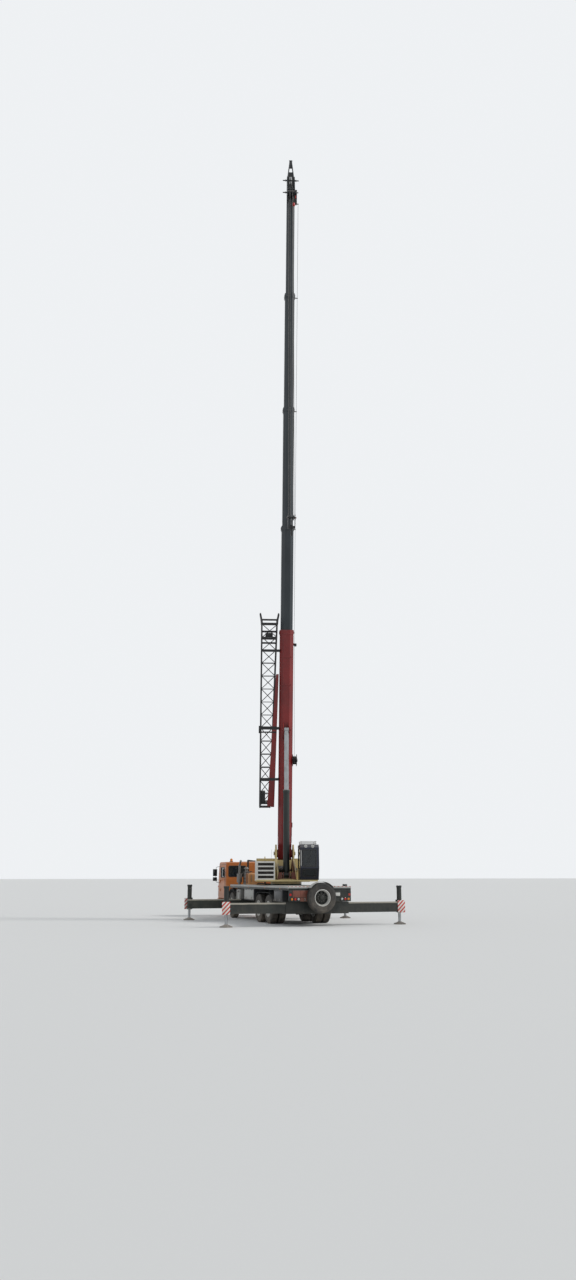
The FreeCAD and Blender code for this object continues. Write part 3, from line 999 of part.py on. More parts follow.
def lift_cylinder():
    """Luffing ram: barrel on the turntable, rod to the boom, drawn along its own axis."""
    along = Vector(math.cos(math.radians(s.luffRest.number)), 0, math.sin(math.radians(s.luffRest.number)))
    normal = Vector(-along.z, 0, along.x)
    eye = (Vector(s.footX.number, 0, s.footZ.number) + along * s.eyeAlong.number
           + normal * s.eyeDrop.number)
    foot = Vector(s.ramX.number, 0, s.ramZ.number)
    reach = (eye - foot).Length
    ram_frame = up_frame.multiply(Placement(foot, Rotation(Vector(0, 0, 1), eye - foot)))
    barrel = fuse("barrel_solid",
                  rod("barrel", "z", s.barrelRadius, s.barrelFoot, s.barrelLength, (0, 0)),
                  rod("barrel_neck", "z", s.ramEyeHalf - 5, Size(40), s.barrelFoot + 5, (0, 0)),
                  rod("barrel_gland", "z", s.barrelRadius + 14, s.barrelLength - 120, s.barrelLength, (0, 0)),
                  rod("barrel_eye", "y", s.ramEye, -s.ramEyeHalf, s.ramEyeHalf, (0, 0)))
    hollow = rod("barrel_bore", "z", s.barrelRadius - s.barrelWall, s.barrelFoot + 40,
                 s.barrelLength - 120, (0, 0))
    mouth = rod("barrel_mouth", "z", s.ramRod + s.runningGap, s.barrelLength - 121,
                s.barrelLength + 1, (0, 0))
    bore = rod("barrel_pin_bore", "y", s.ramPin + s.runningGap, -s.ramEyeHalf - 1, s.ramEyeHalf + 1, (0, 0))
    node("lift_barrel", cut("barrel_whole", barrel, hollow, mouth, bore), ram_frame)
    shaft = rod("ram_rod", "z", s.ramRod, s.barrelLength - 300, Size(reach - 60), (0, 0))
    piston = rod("ram_piston", "z", s.barrelRadius - s.barrelWall - 6, s.barrelLength - 420,
                 s.barrelLength - 290, (0, 0))
    head = rod("rod_eye", "y", s.ramEye, -s.ramEyeHalf, s.ramEyeHalf, (0, Size(reach)))
    node("lift_rod", fuse("rod_whole", shaft, piston, head), ram_frame)


def hook_and_falls():
    """Rope falls under the head sheaves, and the block with its sheaves, cheeks and hook."""
    middle = s.boomBelly + s.boomHigh / 2
    axle = boom_frame.multVec(Vector((s.tip4 + s.headAxle).number, 0, (middle - s.headAxleDrop).number))
    hang = Placement(axle, Rotation(Vector(0, 0, 1), s.heading.number))
    front = s.sheaveRadius + s.fallRadius + s.runningGap
    block_sheave = front / 2 - s.fallRadius - s.runningGap
    axle_z = -s.hookDrop - block_sheave
    falls = []
    for side in (-1, 1):
        falls.append(rod("fall", "z", s.fallRadius, axle_z, Size(0), (front, side * s.fallSpread)))
        falls.append(rod("dead_fall", "z", s.fallRadius, axle_z, -s.headAxleRadius - s.runningGap,
                         (0, side * s.deadSpread)))
    node("rope_falls", gather("falls", *falls), hang)
    x = front / 2
    low = -s.hookDrop - s.blockHigh
    cheeks = [eased("block_cheek", prism("block_plate", "xz", y, y + s.blockPlate, [
        (x - 150, axle_z + 110), (x - 150, axle_z - 150), (x - 70, low), (x + 70, low),
        (x + 150, axle_z - 150), (x + 150, axle_z + 110)]), s.blockRound,
        lambda edge: runs_along(edge, "y") and edge.CenterOfMass.z > low.number + 1)
        for y in (-s.blockCheek - s.blockPlate, -s.blockPlate / 2, s.blockCheek)]
    wheels = [rod("block_sheave", "y", block_sheave, y - s.sheaveThick / 2, y + s.sheaveThick / 2, (x, axle_z))
              for y in (-s.fallSpread - 12, s.fallSpread + 12)]
    axle_pin = rod("block_axle", "y", 30, -s.blockCheek - s.blockPlate - 25, s.blockCheek + s.blockPlate + 25,
                   (x, axle_z))
    yoke = box("block_yoke", (x - 55, x + 55), (-s.blockCheek - 5, s.blockCheek + 5), (low + 10, low + 90))
    nut = rod("hook_nut", "z", 62, low + 90, low + 125, (x, 0))
    shank = rod("hook_shank", "z", s.hookThick + 6, low - s.shankLong, low + 95, (x, 0))
    bowl = new_object("Part::Torus", "hook_bowl")
    for field, value in (("Radius1", s.hookBend), ("Radius2", s.hookThick), ("Angle3", s.hookSweep)):
        bind(bowl, field, value)
    centre = Vector(x.number, 0, (low - s.shankLong - s.hookBend).number)
    bowl.Placement = Placement(centre, Rotation(Vector(1, 0, 0), 90).multiply(Rotation(Vector(0, 0, 1), 90)))
    turn = math.radians(s.hookSweep.number)
    end = centre + Vector(-math.sin(turn), 0, math.cos(turn)) * s.hookBend.number
    tip = new_object("Part::Cone", "hook_tip")
    for field, value in (("Radius1", s.hookThick), ("Radius2", s.hookThick / 2), ("Height", s.hookTip)):
        bind(tip, field, value)
    way = Vector(-math.cos(turn), 0, -math.sin(turn))
    tip.Placement = Placement(end, Rotation(Vector(0, 0, 1), way))
    ball = new_object("Part::Sphere", "hook_tip_end")
    bind(ball, "Radius", s.hookThick / 2)
    ball.Placement.Base = end + way * s.hookTip.number
    latch = strut("hook_latch", Vector(x.number, 0, (low - s.shankLong * 0.7).number),
                  end + way * (s.hookTip.number - 15), 8)
    node("hook_block", fuse("block", *cheeks, *wheels, axle_pin, yoke, nut, shank, bowl, tip, ball, latch), hang)


def jib():
    """Lattice jib stowed beside the base section, with the tapered box it folds out on."""
    foot, tip = s.jibFoot.number, s.jibTip.number
    t = s.jibTube.number

    def corner(along, inner, back):
        share = (along - foot) / (tip - foot)
        inner_y = s.jibInnerFoot.number + share * (s.jibInnerTop - s.jibInnerFoot).number
        y = inner_y if inner else s.jibOuterY.number
        z = (s.jibBack if back else s.jibBelly).number
        return Vector(along, y, z)

    bars = []
    corners = ((True, True), (True, False), (False, False), (False, True))
    for inner, back in corners:
        bars.append(strut("jib_chord", corner(foot, inner, back), corner(tip, inner, back), s.jibTube))
    bays = int(s.jibBays.number)
    pitch = (tip - foot - 2 * t) / bays
    for i in range(bays + 1):
        along = foot + t + i * pitch
        for a in range(4):
            start, end = corner(along, *corners[a]), corner(along, *corners[(a + 1) % 4])
            if i in (0, bays) or a % 2:
                bars.append(strut("jib_ring", start, end, s.jibLace))
            if i < bays:
                bars.append(strut("jib_lace", start, corner(along + pitch, *corners[(a + 1) % 4]), s.jibLace))
    flare = Vector(s.jibProng.number, 0, 0)
    for inner, side in ((True, 1), (False, -1)):
        for back in (True, False):
            root = corner(tip - t, inner, back)
            head = Vector(tip, root.y + side * s.prongFlare.number, (s.jibBack + s.jibBelly).number / 2) + flare
            bars.append(round_bar("jib_prong", root, head, s.jibTube * 0.8))
        bars.append(rod("prong_eye", "y", 55, *sorted((Size(head.y) - 22, Size(head.y) + 22), key=number_of),
                        (s.jibTip + s.jibProng, (s.jibBack + s.jibBelly) / 2)))
    for along in (foot + t, foot + t + s.jibFootFrame.number):
        for back in (True, False):
            bars.append(strut("foot_bar", corner(along, True, back), corner(along, False, back), s.jibTube * 0.8))
    node("jib_lattice", fuse("jib_frame", *bars), boom_frame)
    top = s.jibBelly - s.jibTube
    red = prism("jib_box", "xy", top, top + s.jibBoxHigh, [
        (s.jibFoot + 40, s.boxFootOuter), (s.jibFoot + 40, s.boxFootInner), (s.boxTip, s.boxTipInner),
        (s.boxTip, s.boxTipOuter)])
    node("jib_box", eased("jib_box_eased", red, 24, lambda edge: abs(edge.CenterOfMass.x - (
        s.jibFoot + s.boxTip).number / 2) < 200), boom_frame)
    brackets = []
    side = -s.boomWide / 2
    for along in (s.clampLow, s.clampMiddle, s.clampHigh):
        span = (along, along + s.clampWide)
        pieces = [box("shelf", span, (s.jibOuterY - s.jibTube, side), (top - s.jibShelf, top)),
                  box("upright", span, (side - 16, side), (top - s.jibShelf, Size(200)))]
        if along is s.clampMiddle:
            outer = s.jibOuterY - s.jibTube - 3
            pieces += [box("clamp_side", span, (outer - 12, outer), (top - s.jibShelf, s.clampTop + 12)),
                       box("clamp_bar", span, (outer - 12, side), (s.clampTop, s.clampTop + 12)),
                       box("clamp_post", span, (side - 16, side), (Size(190), s.clampTop + 5))]
        brackets.append(fuse("jib_bracket", *pieces))
    node("jib_brackets", gather("brackets", *brackets), boom_frame)


def cable_reel():
    """Spring reel for the head's cable, carried on a bracket at the base section's side."""
    inner = s.boomWide / 2 + 30
    outer = inner + s.reelWide
    spool = turned("reel", (s.reelAlong, 0, s.reelZ), [
        (inner, 0), (inner, s.reelRadius), (inner + 12, s.reelRadius), (inner + 12, s.reelHub),
        (outer - 12, s.reelHub), (outer - 12, s.reelRadius), (outer, s.reelRadius), (outer, s.reelHub),
        (outer + 40, s.reelHub - 20), (outer + 40, 0)])
    bracket = box("reel_bracket", (s.reelAlong - 60, s.reelAlong + 60), (s.boomWide / 2, inner + 5),
                  (s.reelZ - 70, s.reelZ + 70))
    node("cable_reel", fuse("reel_whole", spool, bracket), boom_frame)


chassis_frame()
deck()
mudguards()
axles()
knuckles()
for label, x, side, twin in (
        ("front_wheel_left", s.frontAxleX, 1, False), ("front_wheel_right", s.frontAxleX, -1, False),
        ("rear_wheel_1_left", s.rearAxleX, 1, True), ("rear_wheel_1_right", s.rearAxleX, -1, True),
        ("rear_wheel_2_left", s.rearAxleX - s.bogieSpacing, 1, True),
        ("rear_wheel_2_right", s.rearAxleX - s.bogieSpacing, -1, True)):
    wheel(label, x, side, twin)
outriggers()
carrier_cab()
carrier_fittings()
superstructure()
operator_cab()
boom()
lift_cylinder()
hook_and_falls()
jib()
cable_reel()
doc.recompute()

for thing in doc.Objects:
    if "Invalid" in thing.State or "Error" in thing.State:
        raise RuntimeError(f"{thing.Label} failed: {thing.State}")
os.makedirs("parts", exist_ok=True)
for piece in nodes:
    if piece.Shape.isNull() or not piece.Shape.isValid():
        raise RuntimeError(f"{piece.Label} has no valid shape")
    piece.Shape.exportStep(f"parts/{piece.Label}.step")
print(f"{len(nodes)} sub-parts written")
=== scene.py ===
import json
import math

import bpy
from mathutils import Matrix, Vector


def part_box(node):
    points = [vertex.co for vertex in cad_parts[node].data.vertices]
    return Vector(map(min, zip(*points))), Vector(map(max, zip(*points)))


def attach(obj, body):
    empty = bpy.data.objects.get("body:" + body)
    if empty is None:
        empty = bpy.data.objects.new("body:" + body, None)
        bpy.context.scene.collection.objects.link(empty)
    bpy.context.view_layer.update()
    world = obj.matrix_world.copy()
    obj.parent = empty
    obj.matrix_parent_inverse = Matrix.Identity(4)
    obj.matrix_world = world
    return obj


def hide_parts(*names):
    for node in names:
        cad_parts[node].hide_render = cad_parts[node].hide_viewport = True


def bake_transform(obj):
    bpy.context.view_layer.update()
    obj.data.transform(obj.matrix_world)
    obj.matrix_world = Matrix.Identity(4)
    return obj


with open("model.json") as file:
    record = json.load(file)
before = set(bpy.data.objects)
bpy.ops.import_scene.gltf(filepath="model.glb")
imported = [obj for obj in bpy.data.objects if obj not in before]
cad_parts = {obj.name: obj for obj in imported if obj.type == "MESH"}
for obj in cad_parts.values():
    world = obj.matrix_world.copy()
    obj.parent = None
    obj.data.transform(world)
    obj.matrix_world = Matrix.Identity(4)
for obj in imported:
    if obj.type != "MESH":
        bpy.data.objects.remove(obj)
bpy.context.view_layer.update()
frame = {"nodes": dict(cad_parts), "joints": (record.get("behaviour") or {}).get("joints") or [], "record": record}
record = frame["record"]
cadNodes = frame["nodes"]
joints = {joint["name"]: joint for joint in frame["joints"]}
print("frame loaded:", len(cadNodes), "nodes")


# Places worked out from the frame. Each local frame has x forwards, y to its left, z up or outwards.
def jointPoint(name):
    return Vector(joints[name]["pos_m"])


def jointAxis(name):
    return Vector(joints[name]["axis"]).normalized()


def framePlace(origin, forwards, left):
    rows = [forwards.normalized(), left.normalized(), forwards.cross(left).normalized()]
    return Matrix.Translation(origin) @ Matrix(rows).transposed().to_4x4()


ground = Matrix.Identity(4)
luffAxis = jointAxis("boom_luff")
upForwards = luffAxis.cross(Vector((0, 0, 1)))
slewPoint = jointPoint("slewing")
upPlace = framePlace(Vector((slewPoint.x, slewPoint.y, 0)), upForwards, luffAxis)
boomPlace = framePlace(jointPoint("boom_luff"), -jointAxis("telescope_1"), luffAxis)
ramPlace = framePlace(jointPoint("lift_barrel_swing"), jointAxis("lift_rod_slide"), luffAxis)
hangPlace = framePlace(jointPoint("hook_swing"), upForwards, luffAxis)


def localBox(nodeName, place=ground):
    back = place.inverted()
    points = [back @ vertex.co for vertex in cadNodes[nodeName].data.vertices]
    return (Vector([min(point[i] for point in points) for i in range(3)]),
            Vector([max(point[i] for point in points) for i in range(3)]))


# Mesh helpers: each starts from an operator's primitive or a drawn curve and leaves a mesh at the origin
def clearPicks():
    if bpy.context.object and bpy.context.object.mode != "OBJECT":
        bpy.ops.object.mode_set(mode="OBJECT")
    bpy.ops.object.select_all(action="DESELECT")


def pick(piece):
    clearPicks()
    piece.select_set(True)
    bpy.context.view_layer.objects.active = piece


def settle(piece, place=ground, finish=None):
    pick(piece)
    bpy.ops.object.transform_apply(location=True, rotation=True, scale=True)
    piece.data.transform(place)
    if finish:
        piece.data.materials.clear()
        piece.data.materials.append(finishes[finish])
    return piece


def asMesh(piece):
    pick(piece)
    bpy.ops.object.convert(target="MESH")
    return bpy.context.object


# From edit mode: merges doubles, turns the faces outwards and goes back to object mode
def mergeAndFaceOut(threshold=0.0002):
    bpy.ops.mesh.select_all(action="SELECT")
    bpy.ops.mesh.remove_doubles(threshold=threshold)
    bpy.ops.mesh.normals_make_consistent(inside=False)
    bpy.ops.object.mode_set(mode="OBJECT")


def evenTurns(count):
    return [2 * math.pi * i / count for i in range(count)]


# Stands a lathe's x axis upright at a point
def upright(point, place=ground):
    return place @ Matrix.Translation(point) @ Matrix.Rotation(-math.pi / 2, 4, "Y")


# Turns a lathe's x axis backwards at a point
def rearwards(point):
    return Matrix.Translation(point) @ Matrix.Rotation(math.pi, 4, "Z")


def block(name, low, high, finish, place=ground, bevel=0.006, steps=2):
    clearPicks()
    low, high = Vector(low), Vector(high)
    bpy.ops.mesh.primitive_cube_add(size=1, location=(low + high) / 2, scale=high - low)
    piece = bpy.context.object
    piece.name = name
    bpy.ops.object.transform_apply(location=True, rotation=True, scale=True)
    bpy.ops.object.mode_set(mode="EDIT")
    bpy.ops.mesh.select_all(action="SELECT")
    bpy.ops.mesh.bevel(offset=bevel, segments=steps, affect="EDGES")
    bpy.ops.object.mode_set(mode="OBJECT")
    return settle(piece, place, finish)


def drum(name, start, end, radius, finish, place=ground, sides=24, bevel=0.0, endRadius=None):
    clearPicks()
    start, end = Vector(start), Vector(end)
    run = end - start
    bpy.ops.mesh.primitive_cone_add(vertices=sides, radius1=radius, radius2=endRadius or radius,
                                    depth=run.length, location=(start + end) / 2)
    piece = bpy.context.object
    piece.name = name
    piece.rotation_euler = run.to_track_quat("Z", "Y").to_euler()
    bpy.ops.object.transform_apply(location=True, rotation=True, scale=True)
    if bevel:
        bpy.ops.object.mode_set(mode="EDIT")
        bpy.ops.mesh.select_mode(type="FACE")
        bpy.ops.mesh.select_all(action="DESELECT")
        bpy.ops.object.mode_set(mode="OBJECT")
        for face in piece.data.polygons:
            face.select = len(face.vertices) > 4
        bpy.ops.object.mode_set(mode="EDIT")
        bpy.ops.mesh.region_to_loop()
        bpy.ops.mesh.bevel(offset=bevel, segments=2, affect="EDGES")
        bpy.ops.mesh.select_mode(type="VERT")
        bpy.ops.object.mode_set(mode="OBJECT")
    return settle(piece, place, finish)


def drawnCurve(name, loops, closed, flat):
    curve = bpy.data.curves.new(name, "CURVE")
    curve.dimensions = "2D" if flat else "3D"
    for loop in loops:
        spline = curve.splines.new("POLY")
        spline.points.add(len(loop) - 1)
        for point, place in zip(spline.points, loop):
            point.co = (*place, 0, 1) if len(place) == 2 else (*place, 1)
        spline.use_cyclic_u = closed
    piece = bpy.data.objects.new(name, curve)
    bpy.context.scene.collection.objects.link(piece)
    return piece


def plate(name, loops, thick, finish, place=ground, bevel=0.0):
    piece = drawnCurve(name, loops, True, True)
    curve = piece.data
    curve.fill_mode = "BOTH"
    curve.extrude = thick / 2 - bevel
    curve.bevel_depth = bevel
    curve.bevel_resolution = 1
    curve.offset = -bevel
    piece = asMesh(piece)
    bpy.ops.object.mode_set(mode="EDIT")
    mergeAndFaceOut()
    return settle(piece, place, finish)


def roundedRoute(points, bend, closed=False):
    points = [Vector(point) for point in points]
    if bend <= 0:
        return points
    route = []
    count = len(points)
    for i, point in enumerate(points):
        if not closed and i in (0, count - 1):
            route.append(point)
            continue
        before, after = points[i - 1], points[(i + 1) % count]
        reach = min(bend, (before - point).length * 0.48, (after - point).length * 0.48)
        start = point + (before - point).normalized() * reach
        end = point + (after - point).normalized() * reach
        for t in (0, 0.25, 0.5, 0.75, 1):
            route.append(start * (1 - t) ** 2 + point * (2 * t * (1 - t)) + end * t ** 2)
    return route


def pipe(name, points, radius, finish, place=ground, bend=0.0, closed=False, roundness=2):
    piece = drawnCurve(name, [roundedRoute(points, bend, closed)], closed, False)
    piece.data.bevel_depth = radius
    piece.data.bevel_resolution = roundness
    piece.data.use_fill_caps = not closed
    return settle(asMesh(piece), place, finish)


def lathe(name, profile, finish, place=ground, steps=48):
    piece = asMesh(drawnCurve(name, [[(along, 0, radius) for along, radius in profile]], False, False))
    bpy.ops.object.mode_set(mode="EDIT")
    bpy.ops.mesh.select_all(action="SELECT")
    bpy.ops.mesh.spin(steps=steps, angle=2 * math.pi, center=(0, 0, 0), axis=(1, 0, 0))
    mergeAndFaceOut()
    return settle(piece, place, finish)


def copied(piece, places):
    twins = [piece]
    for place in places[1:]:
        twin = piece.copy()
        twin.data = piece.data.copy()
        bpy.context.scene.collection.objects.link(twin)
        twin.data.transform(place)
        twins.append(twin)
    piece.data.transform(places[0])
    return joined(piece.name, twins)


def joined(name, pieces):
    clearPicks()
    for piece in pieces:
        piece.select_set(True)
    bpy.context.view_layer.objects.active = pieces[0]
    if len(pieces) > 1:
        bpy.ops.object.join()
    whole = bpy.context.view_layer.objects.active
    whole.name = name
    return whole


def mirroredTwin(name, piece):
    twin = piece.copy()
    twin.data = piece.data.copy()
    bpy.context.scene.collection.objects.link(twin)
    twin.data.transform(Matrix.Scale(-1, 4, (0, 1, 0)))
    twin.data.flip_normals()
    twin.name = name
    return twin


def mount(name, pieces, body, smooth=35):
    whole = joined(name, pieces if isinstance(pieces, list) else [pieces])
    bpy.ops.object.shade_smooth_by_angle(angle=math.radians(smooth))
    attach(whole, body)
    return whole


# Camera where the photographer stood, fitted to the horizon and the outrigger floats
cameraView = {"place": (-40.13, 12.68, 1.85), "towards": (0.951, -0.311), "tiltUp": 13.73, "focalPixels": 962,
              "imageHigh": 1280}


def makeCamera():
    camera = bpy.data.cameras.new("photoCamera")
    camera.sensor_width = 36
    camera.lens = cameraView["focalPixels"] / cameraView["imageHigh"] * camera.sensor_width
    camera.clip_end = 2000
    holder = bpy.data.objects.new("photoCamera", camera)
    bpy.context.scene.collection.objects.link(holder)
    holder.location = cameraView["place"]
    turn = math.atan2(cameraView["towards"][1], cameraView["towards"][0]) - math.pi / 2
    holder.rotation_euler = (math.pi / 2 + math.radians(cameraView["tiltUp"]), 0, turn)
    bpy.context.scene.camera = holder


# Pale floor and soft light
studio = {"floorSize": 900, "floorColour": (0.74, 0.73, 0.70, 1), "floorRoughness": 0.9,
          "worldColour": (0.80, 0.85, 0.92, 1), "worldStrength": 0.62, "backdropColour": (0.86, 0.88, 0.90, 1),
          "sunStrength": 1.7, "sunAngle": 14, "sunTurn": (52, 8, -35)}


def makeStudio():
    clearPicks()
    bpy.ops.mesh.primitive_plane_add(size=studio["floorSize"])
    floor = bpy.context.object
    floor.name = "floor"
    material = bpy.data.materials.new("paleFloor")
    material.use_nodes = True
    shader = material.node_tree.nodes["Principled BSDF"]
    shader.inputs["Base Color"].default_value = studio["floorColour"]
    shader.inputs["Roughness"].default_value = studio["floorRoughness"]
    floor.data.materials.append(material)
    world = bpy.data.worlds.new("studio")
    bpy.context.scene.world = world
    world.use_nodes = True
    nodes, links = world.node_tree.nodes, world.node_tree.links
    nodes.clear()
    output = nodes.new("ShaderNodeOutputWorld")
    soft, seen = nodes.new("ShaderNodeBackground"), nodes.new("ShaderNodeBackground")
    mix, path = nodes.new("ShaderNodeMixShader"), nodes.new("ShaderNodeLightPath")
    soft.inputs["Color"].default_value = studio["worldColour"]
    soft.inputs["Strength"].default_value = studio["worldStrength"]
    seen.inputs["Color"].default_value = studio["backdropColour"]
    seen.inputs["Strength"].default_value = 1
    seenDirectly = path.outputs["Is Camera Ray"]
    for ray in ("Is Glossy Ray", "Is Transmission Ray"):
        either = nodes.new("ShaderNodeMath")
        either.operation = "MAXIMUM"
        links.new(seenDirectly, either.inputs[0])
        links.new(path.outputs[ray], either.inputs[1])
        seenDirectly = either.outputs[0]
    links.new(seenDirectly, mix.inputs["Fac"])
    links.new(soft.outputs["Background"], mix.inputs[1])
    links.new(seen.outputs["Background"], mix.inputs[2])
    links.new(mix.outputs["Shader"], output.inputs["Surface"])
    sun = bpy.data.lights.new("softSun", "SUN")
    sun.energy = studio["sunStrength"]
    sun.angle = math.radians(studio["sunAngle"])
    lamp = bpy.data.objects.new("softSun", sun)
    bpy.context.scene.collection.objects.link(lamp)
    lamp.rotation_euler = [math.radians(turn) for turn in studio["sunTurn"]]
    bpy.context.scene.view_settings.view_transform = "Standard"


makeCamera()
makeStudio()
print("camera, floor and light made")


# Shared effects as node groups: weathering, tread-plate pattern and slanted bands
def newGroup(name, inputs, outputs):
    group = bpy.data.node_groups.new(name, "ShaderNodeTree")
    for socketName, kind, value in inputs:
        socket = group.interface.new_socket(socketName, in_out="INPUT", socket_type=kind)
        if value is not None:
            socket.default_value = value
    for socketName, kind in outputs:
        group.interface.new_socket(socketName, in_out="OUTPUT", socket_type=kind)
    return group, group.nodes.new("NodeGroupInput"), group.nodes.new("NodeGroupOutput")


def mathNode(tree, operation, first, second=None, clamp=False):
    node = tree.nodes.new("ShaderNodeMath")
    node.operation = operation
    node.use_clamp = clamp
    for i, value in enumerate((first, second)):
        if value is None:
            continue
        if isinstance(value, (int, float)):
            node.inputs[i].default_value = value
        else:
            tree.links.new(value, node.inputs[i])
    return node.outputs[0]


def noiseNode(tree, vector, scale, detail=3.0, rough=0.55):
    node = tree.nodes.new("ShaderNodeTexNoise")
    node.inputs["Scale"].default_value = scale
    node.inputs["Detail"].default_value = detail
    node.inputs["Roughness"].default_value = rough
    tree.links.new(vector, node.inputs["Vector"])
    return node.outputs["Fac"]


def rampNode(tree, value, low, high):
    node = tree.nodes.new("ShaderNodeMapRange")
    node.inputs["From Min"].default_value = low
    node.inputs["From Max"].default_value = high
    tree.links.new(value, node.inputs["Value"])
    return node.outputs["Result"]


def stretchNode(tree, vector, scale):
    node = tree.nodes.new("ShaderNodeMapping")
    node.inputs["Scale"].default_value = scale
    tree.links.new(vector, node.inputs["Vector"])
    return node.outputs["Vector"]


def makeWeathering():
    group, inside, outside = newGroup("weathering", [
        ("Vector", "NodeSocketVector", None), ("Dust", "NodeSocketFloat", 0.4), ("Chips", "NodeSocketFloat", 0.3)],
        [("Tone", "NodeSocketFloat"), ("Dust Mask", "NodeSocketFloat"), ("Chip Mask", "NodeSocketFloat"),
         ("Height", "NodeSocketFloat")])
    vector = inside.outputs["Vector"]
    tone = noiseNode(group, vector, 0.9, 4)
    patches = noiseNode(group, vector, 3.2, 6, 0.65)
    streaks = noiseNode(group, stretchNode(group, vector, (9, 9, 0.8)), 1.0, 3)
    fine = noiseNode(group, vector, 34, 4)
    geometry = group.nodes.new("ShaderNodeNewGeometry")
    split = group.nodes.new("ShaderNodeSeparateXYZ")
    group.links.new(geometry.outputs["Normal"], split.inputs[0])
    facingUp = rampNode(group, split.outputs["Z"], 0.35, 1.0)
    place = group.nodes.new("ShaderNodeSeparateXYZ")
    group.links.new(vector, place.inputs[0])
    splash = rampNode(group, place.outputs["Z"], 1.5, 0.15)
    lying = mathNode(group, "MULTIPLY", facingUp, 0.75)
    gathered = mathNode(group, "MAXIMUM", lying, mathNode(group, "MULTIPLY", splash, 0.8))
    gathered = mathNode(group, "ADD", gathered, mathNode(group, "MULTIPLY", rampNode(group, streaks, 0.52, 0.8), 0.35))
    broken = mathNode(group, "MULTIPLY", gathered, rampNode(group, patches, 0.3, 0.72))
    dust = mathNode(group, "MULTIPLY", broken, inside.outputs["Dust"], True)
    spots = rampNode(group, noiseNode(group, vector, 11, 9, 0.72), 0.63, 0.67)
    edges = rampNode(group, patches, 0.5, 0.62)
    chips = mathNode(group, "MULTIPLY", mathNode(group, "MULTIPLY", spots, edges), inside.outputs["Chips"], True)
    height = mathNode(group, "SUBTRACT", mathNode(group, "MULTIPLY", fine, 0.25), chips)
    for socketName, value in (("Tone", tone), ("Dust Mask", dust), ("Chip Mask", chips), ("Height", height)):
        group.links.new(value, outside.inputs[socketName])
    return group


def makeTreadPattern():
    group, inside, outside = newGroup("treadPattern", [
        ("Vector", "NodeSocketVector", None), ("Pitch", "NodeSocketFloat", 26.0)], [("Height", "NodeSocketFloat")])
    split = group.nodes.new("ShaderNodeSeparateXYZ")
    group.links.new(inside.outputs["Vector"], split.inputs[0])
    cells = [mathNode(group, "MULTIPLY", split.outputs[axis], inside.outputs["Pitch"]) for axis in ("X", "Y")]
    wave = [mathNode(group, "SINE", mathNode(group, "MULTIPLY", mathNode(group, kind, *cells), math.pi / 2))
            for kind in ("ADD", "SUBTRACT")]
    ridge = mathNode(group, "SUBTRACT", mathNode(group, "ABSOLUTE", wave[0]), mathNode(group, "ABSOLUTE", wave[1]))
    lozenge = rampNode(group, mathNode(group, "ABSOLUTE", ridge), 0.62, 0.80)
    group.links.new(lozenge, outside.inputs["Height"])
    return group


def makeBands():
    group, inside, outside = newGroup("slantedBands", [
        ("Vector", "NodeSocketVector", None), ("Pitch", "NodeSocketFloat", 6.0)], [("Mask", "NodeSocketFloat")])
    split = group.nodes.new("ShaderNodeSeparateXYZ")
    group.links.new(inside.outputs["Vector"], split.inputs[0])
    across = mathNode(group, "ADD", split.outputs["X"], split.outputs["Y"])
    run = mathNode(group, "MULTIPLY", mathNode(group, "ADD", across, split.outputs["Z"]), inside.outputs["Pitch"])
    group.links.new(mathNode(group, "GREATER_THAN", mathNode(group, "FRACT", run), 0.5), outside.inputs["Mask"])
    return group


weathering = makeWeathering()
treadPattern = makeTreadPattern()
slantedBands = makeBands()
finishes = {}


def mixColour(tree, mask, first, second):
    node = tree.nodes.new("ShaderNodeMix")
    node.data_type = "RGBA"
    tree.links.new(mask, node.inputs["Factor"])
    for socket, value in ((node.inputs[6], first), (node.inputs[7], second)):
        if isinstance(value, tuple):
            socket.default_value = (*value, 1)
        else:
            tree.links.new(value, socket)
    return node.outputs[2]


def startFinish(name):
    material = bpy.data.materials.new(name)
    material.use_nodes = True
    tree = material.node_tree
    finishes[name] = material
    coordinates = tree.nodes.new("ShaderNodeTexCoord")
    return tree, tree.nodes["Principled BSDF"], coordinates.outputs["Object"]


def weather(tree, vector, dust, chips):
    group = tree.nodes.new("ShaderNodeGroup")
    group.node_tree = weathering
    group.inputs["Dust"].default_value = dust
    group.inputs["Chips"].default_value = chips
    tree.links.new(vector, group.inputs["Vector"])
    return group.outputs


def bump(tree, shader, height, strength, distance):
    node = tree.nodes.new("ShaderNodeBump")
    node.inputs["Strength"].default_value = strength
    node.inputs["Distance"].default_value = distance
    tree.links.new(height, node.inputs["Height"])
    tree.links.new(node.outputs["Normal"], shader.inputs["Normal"])


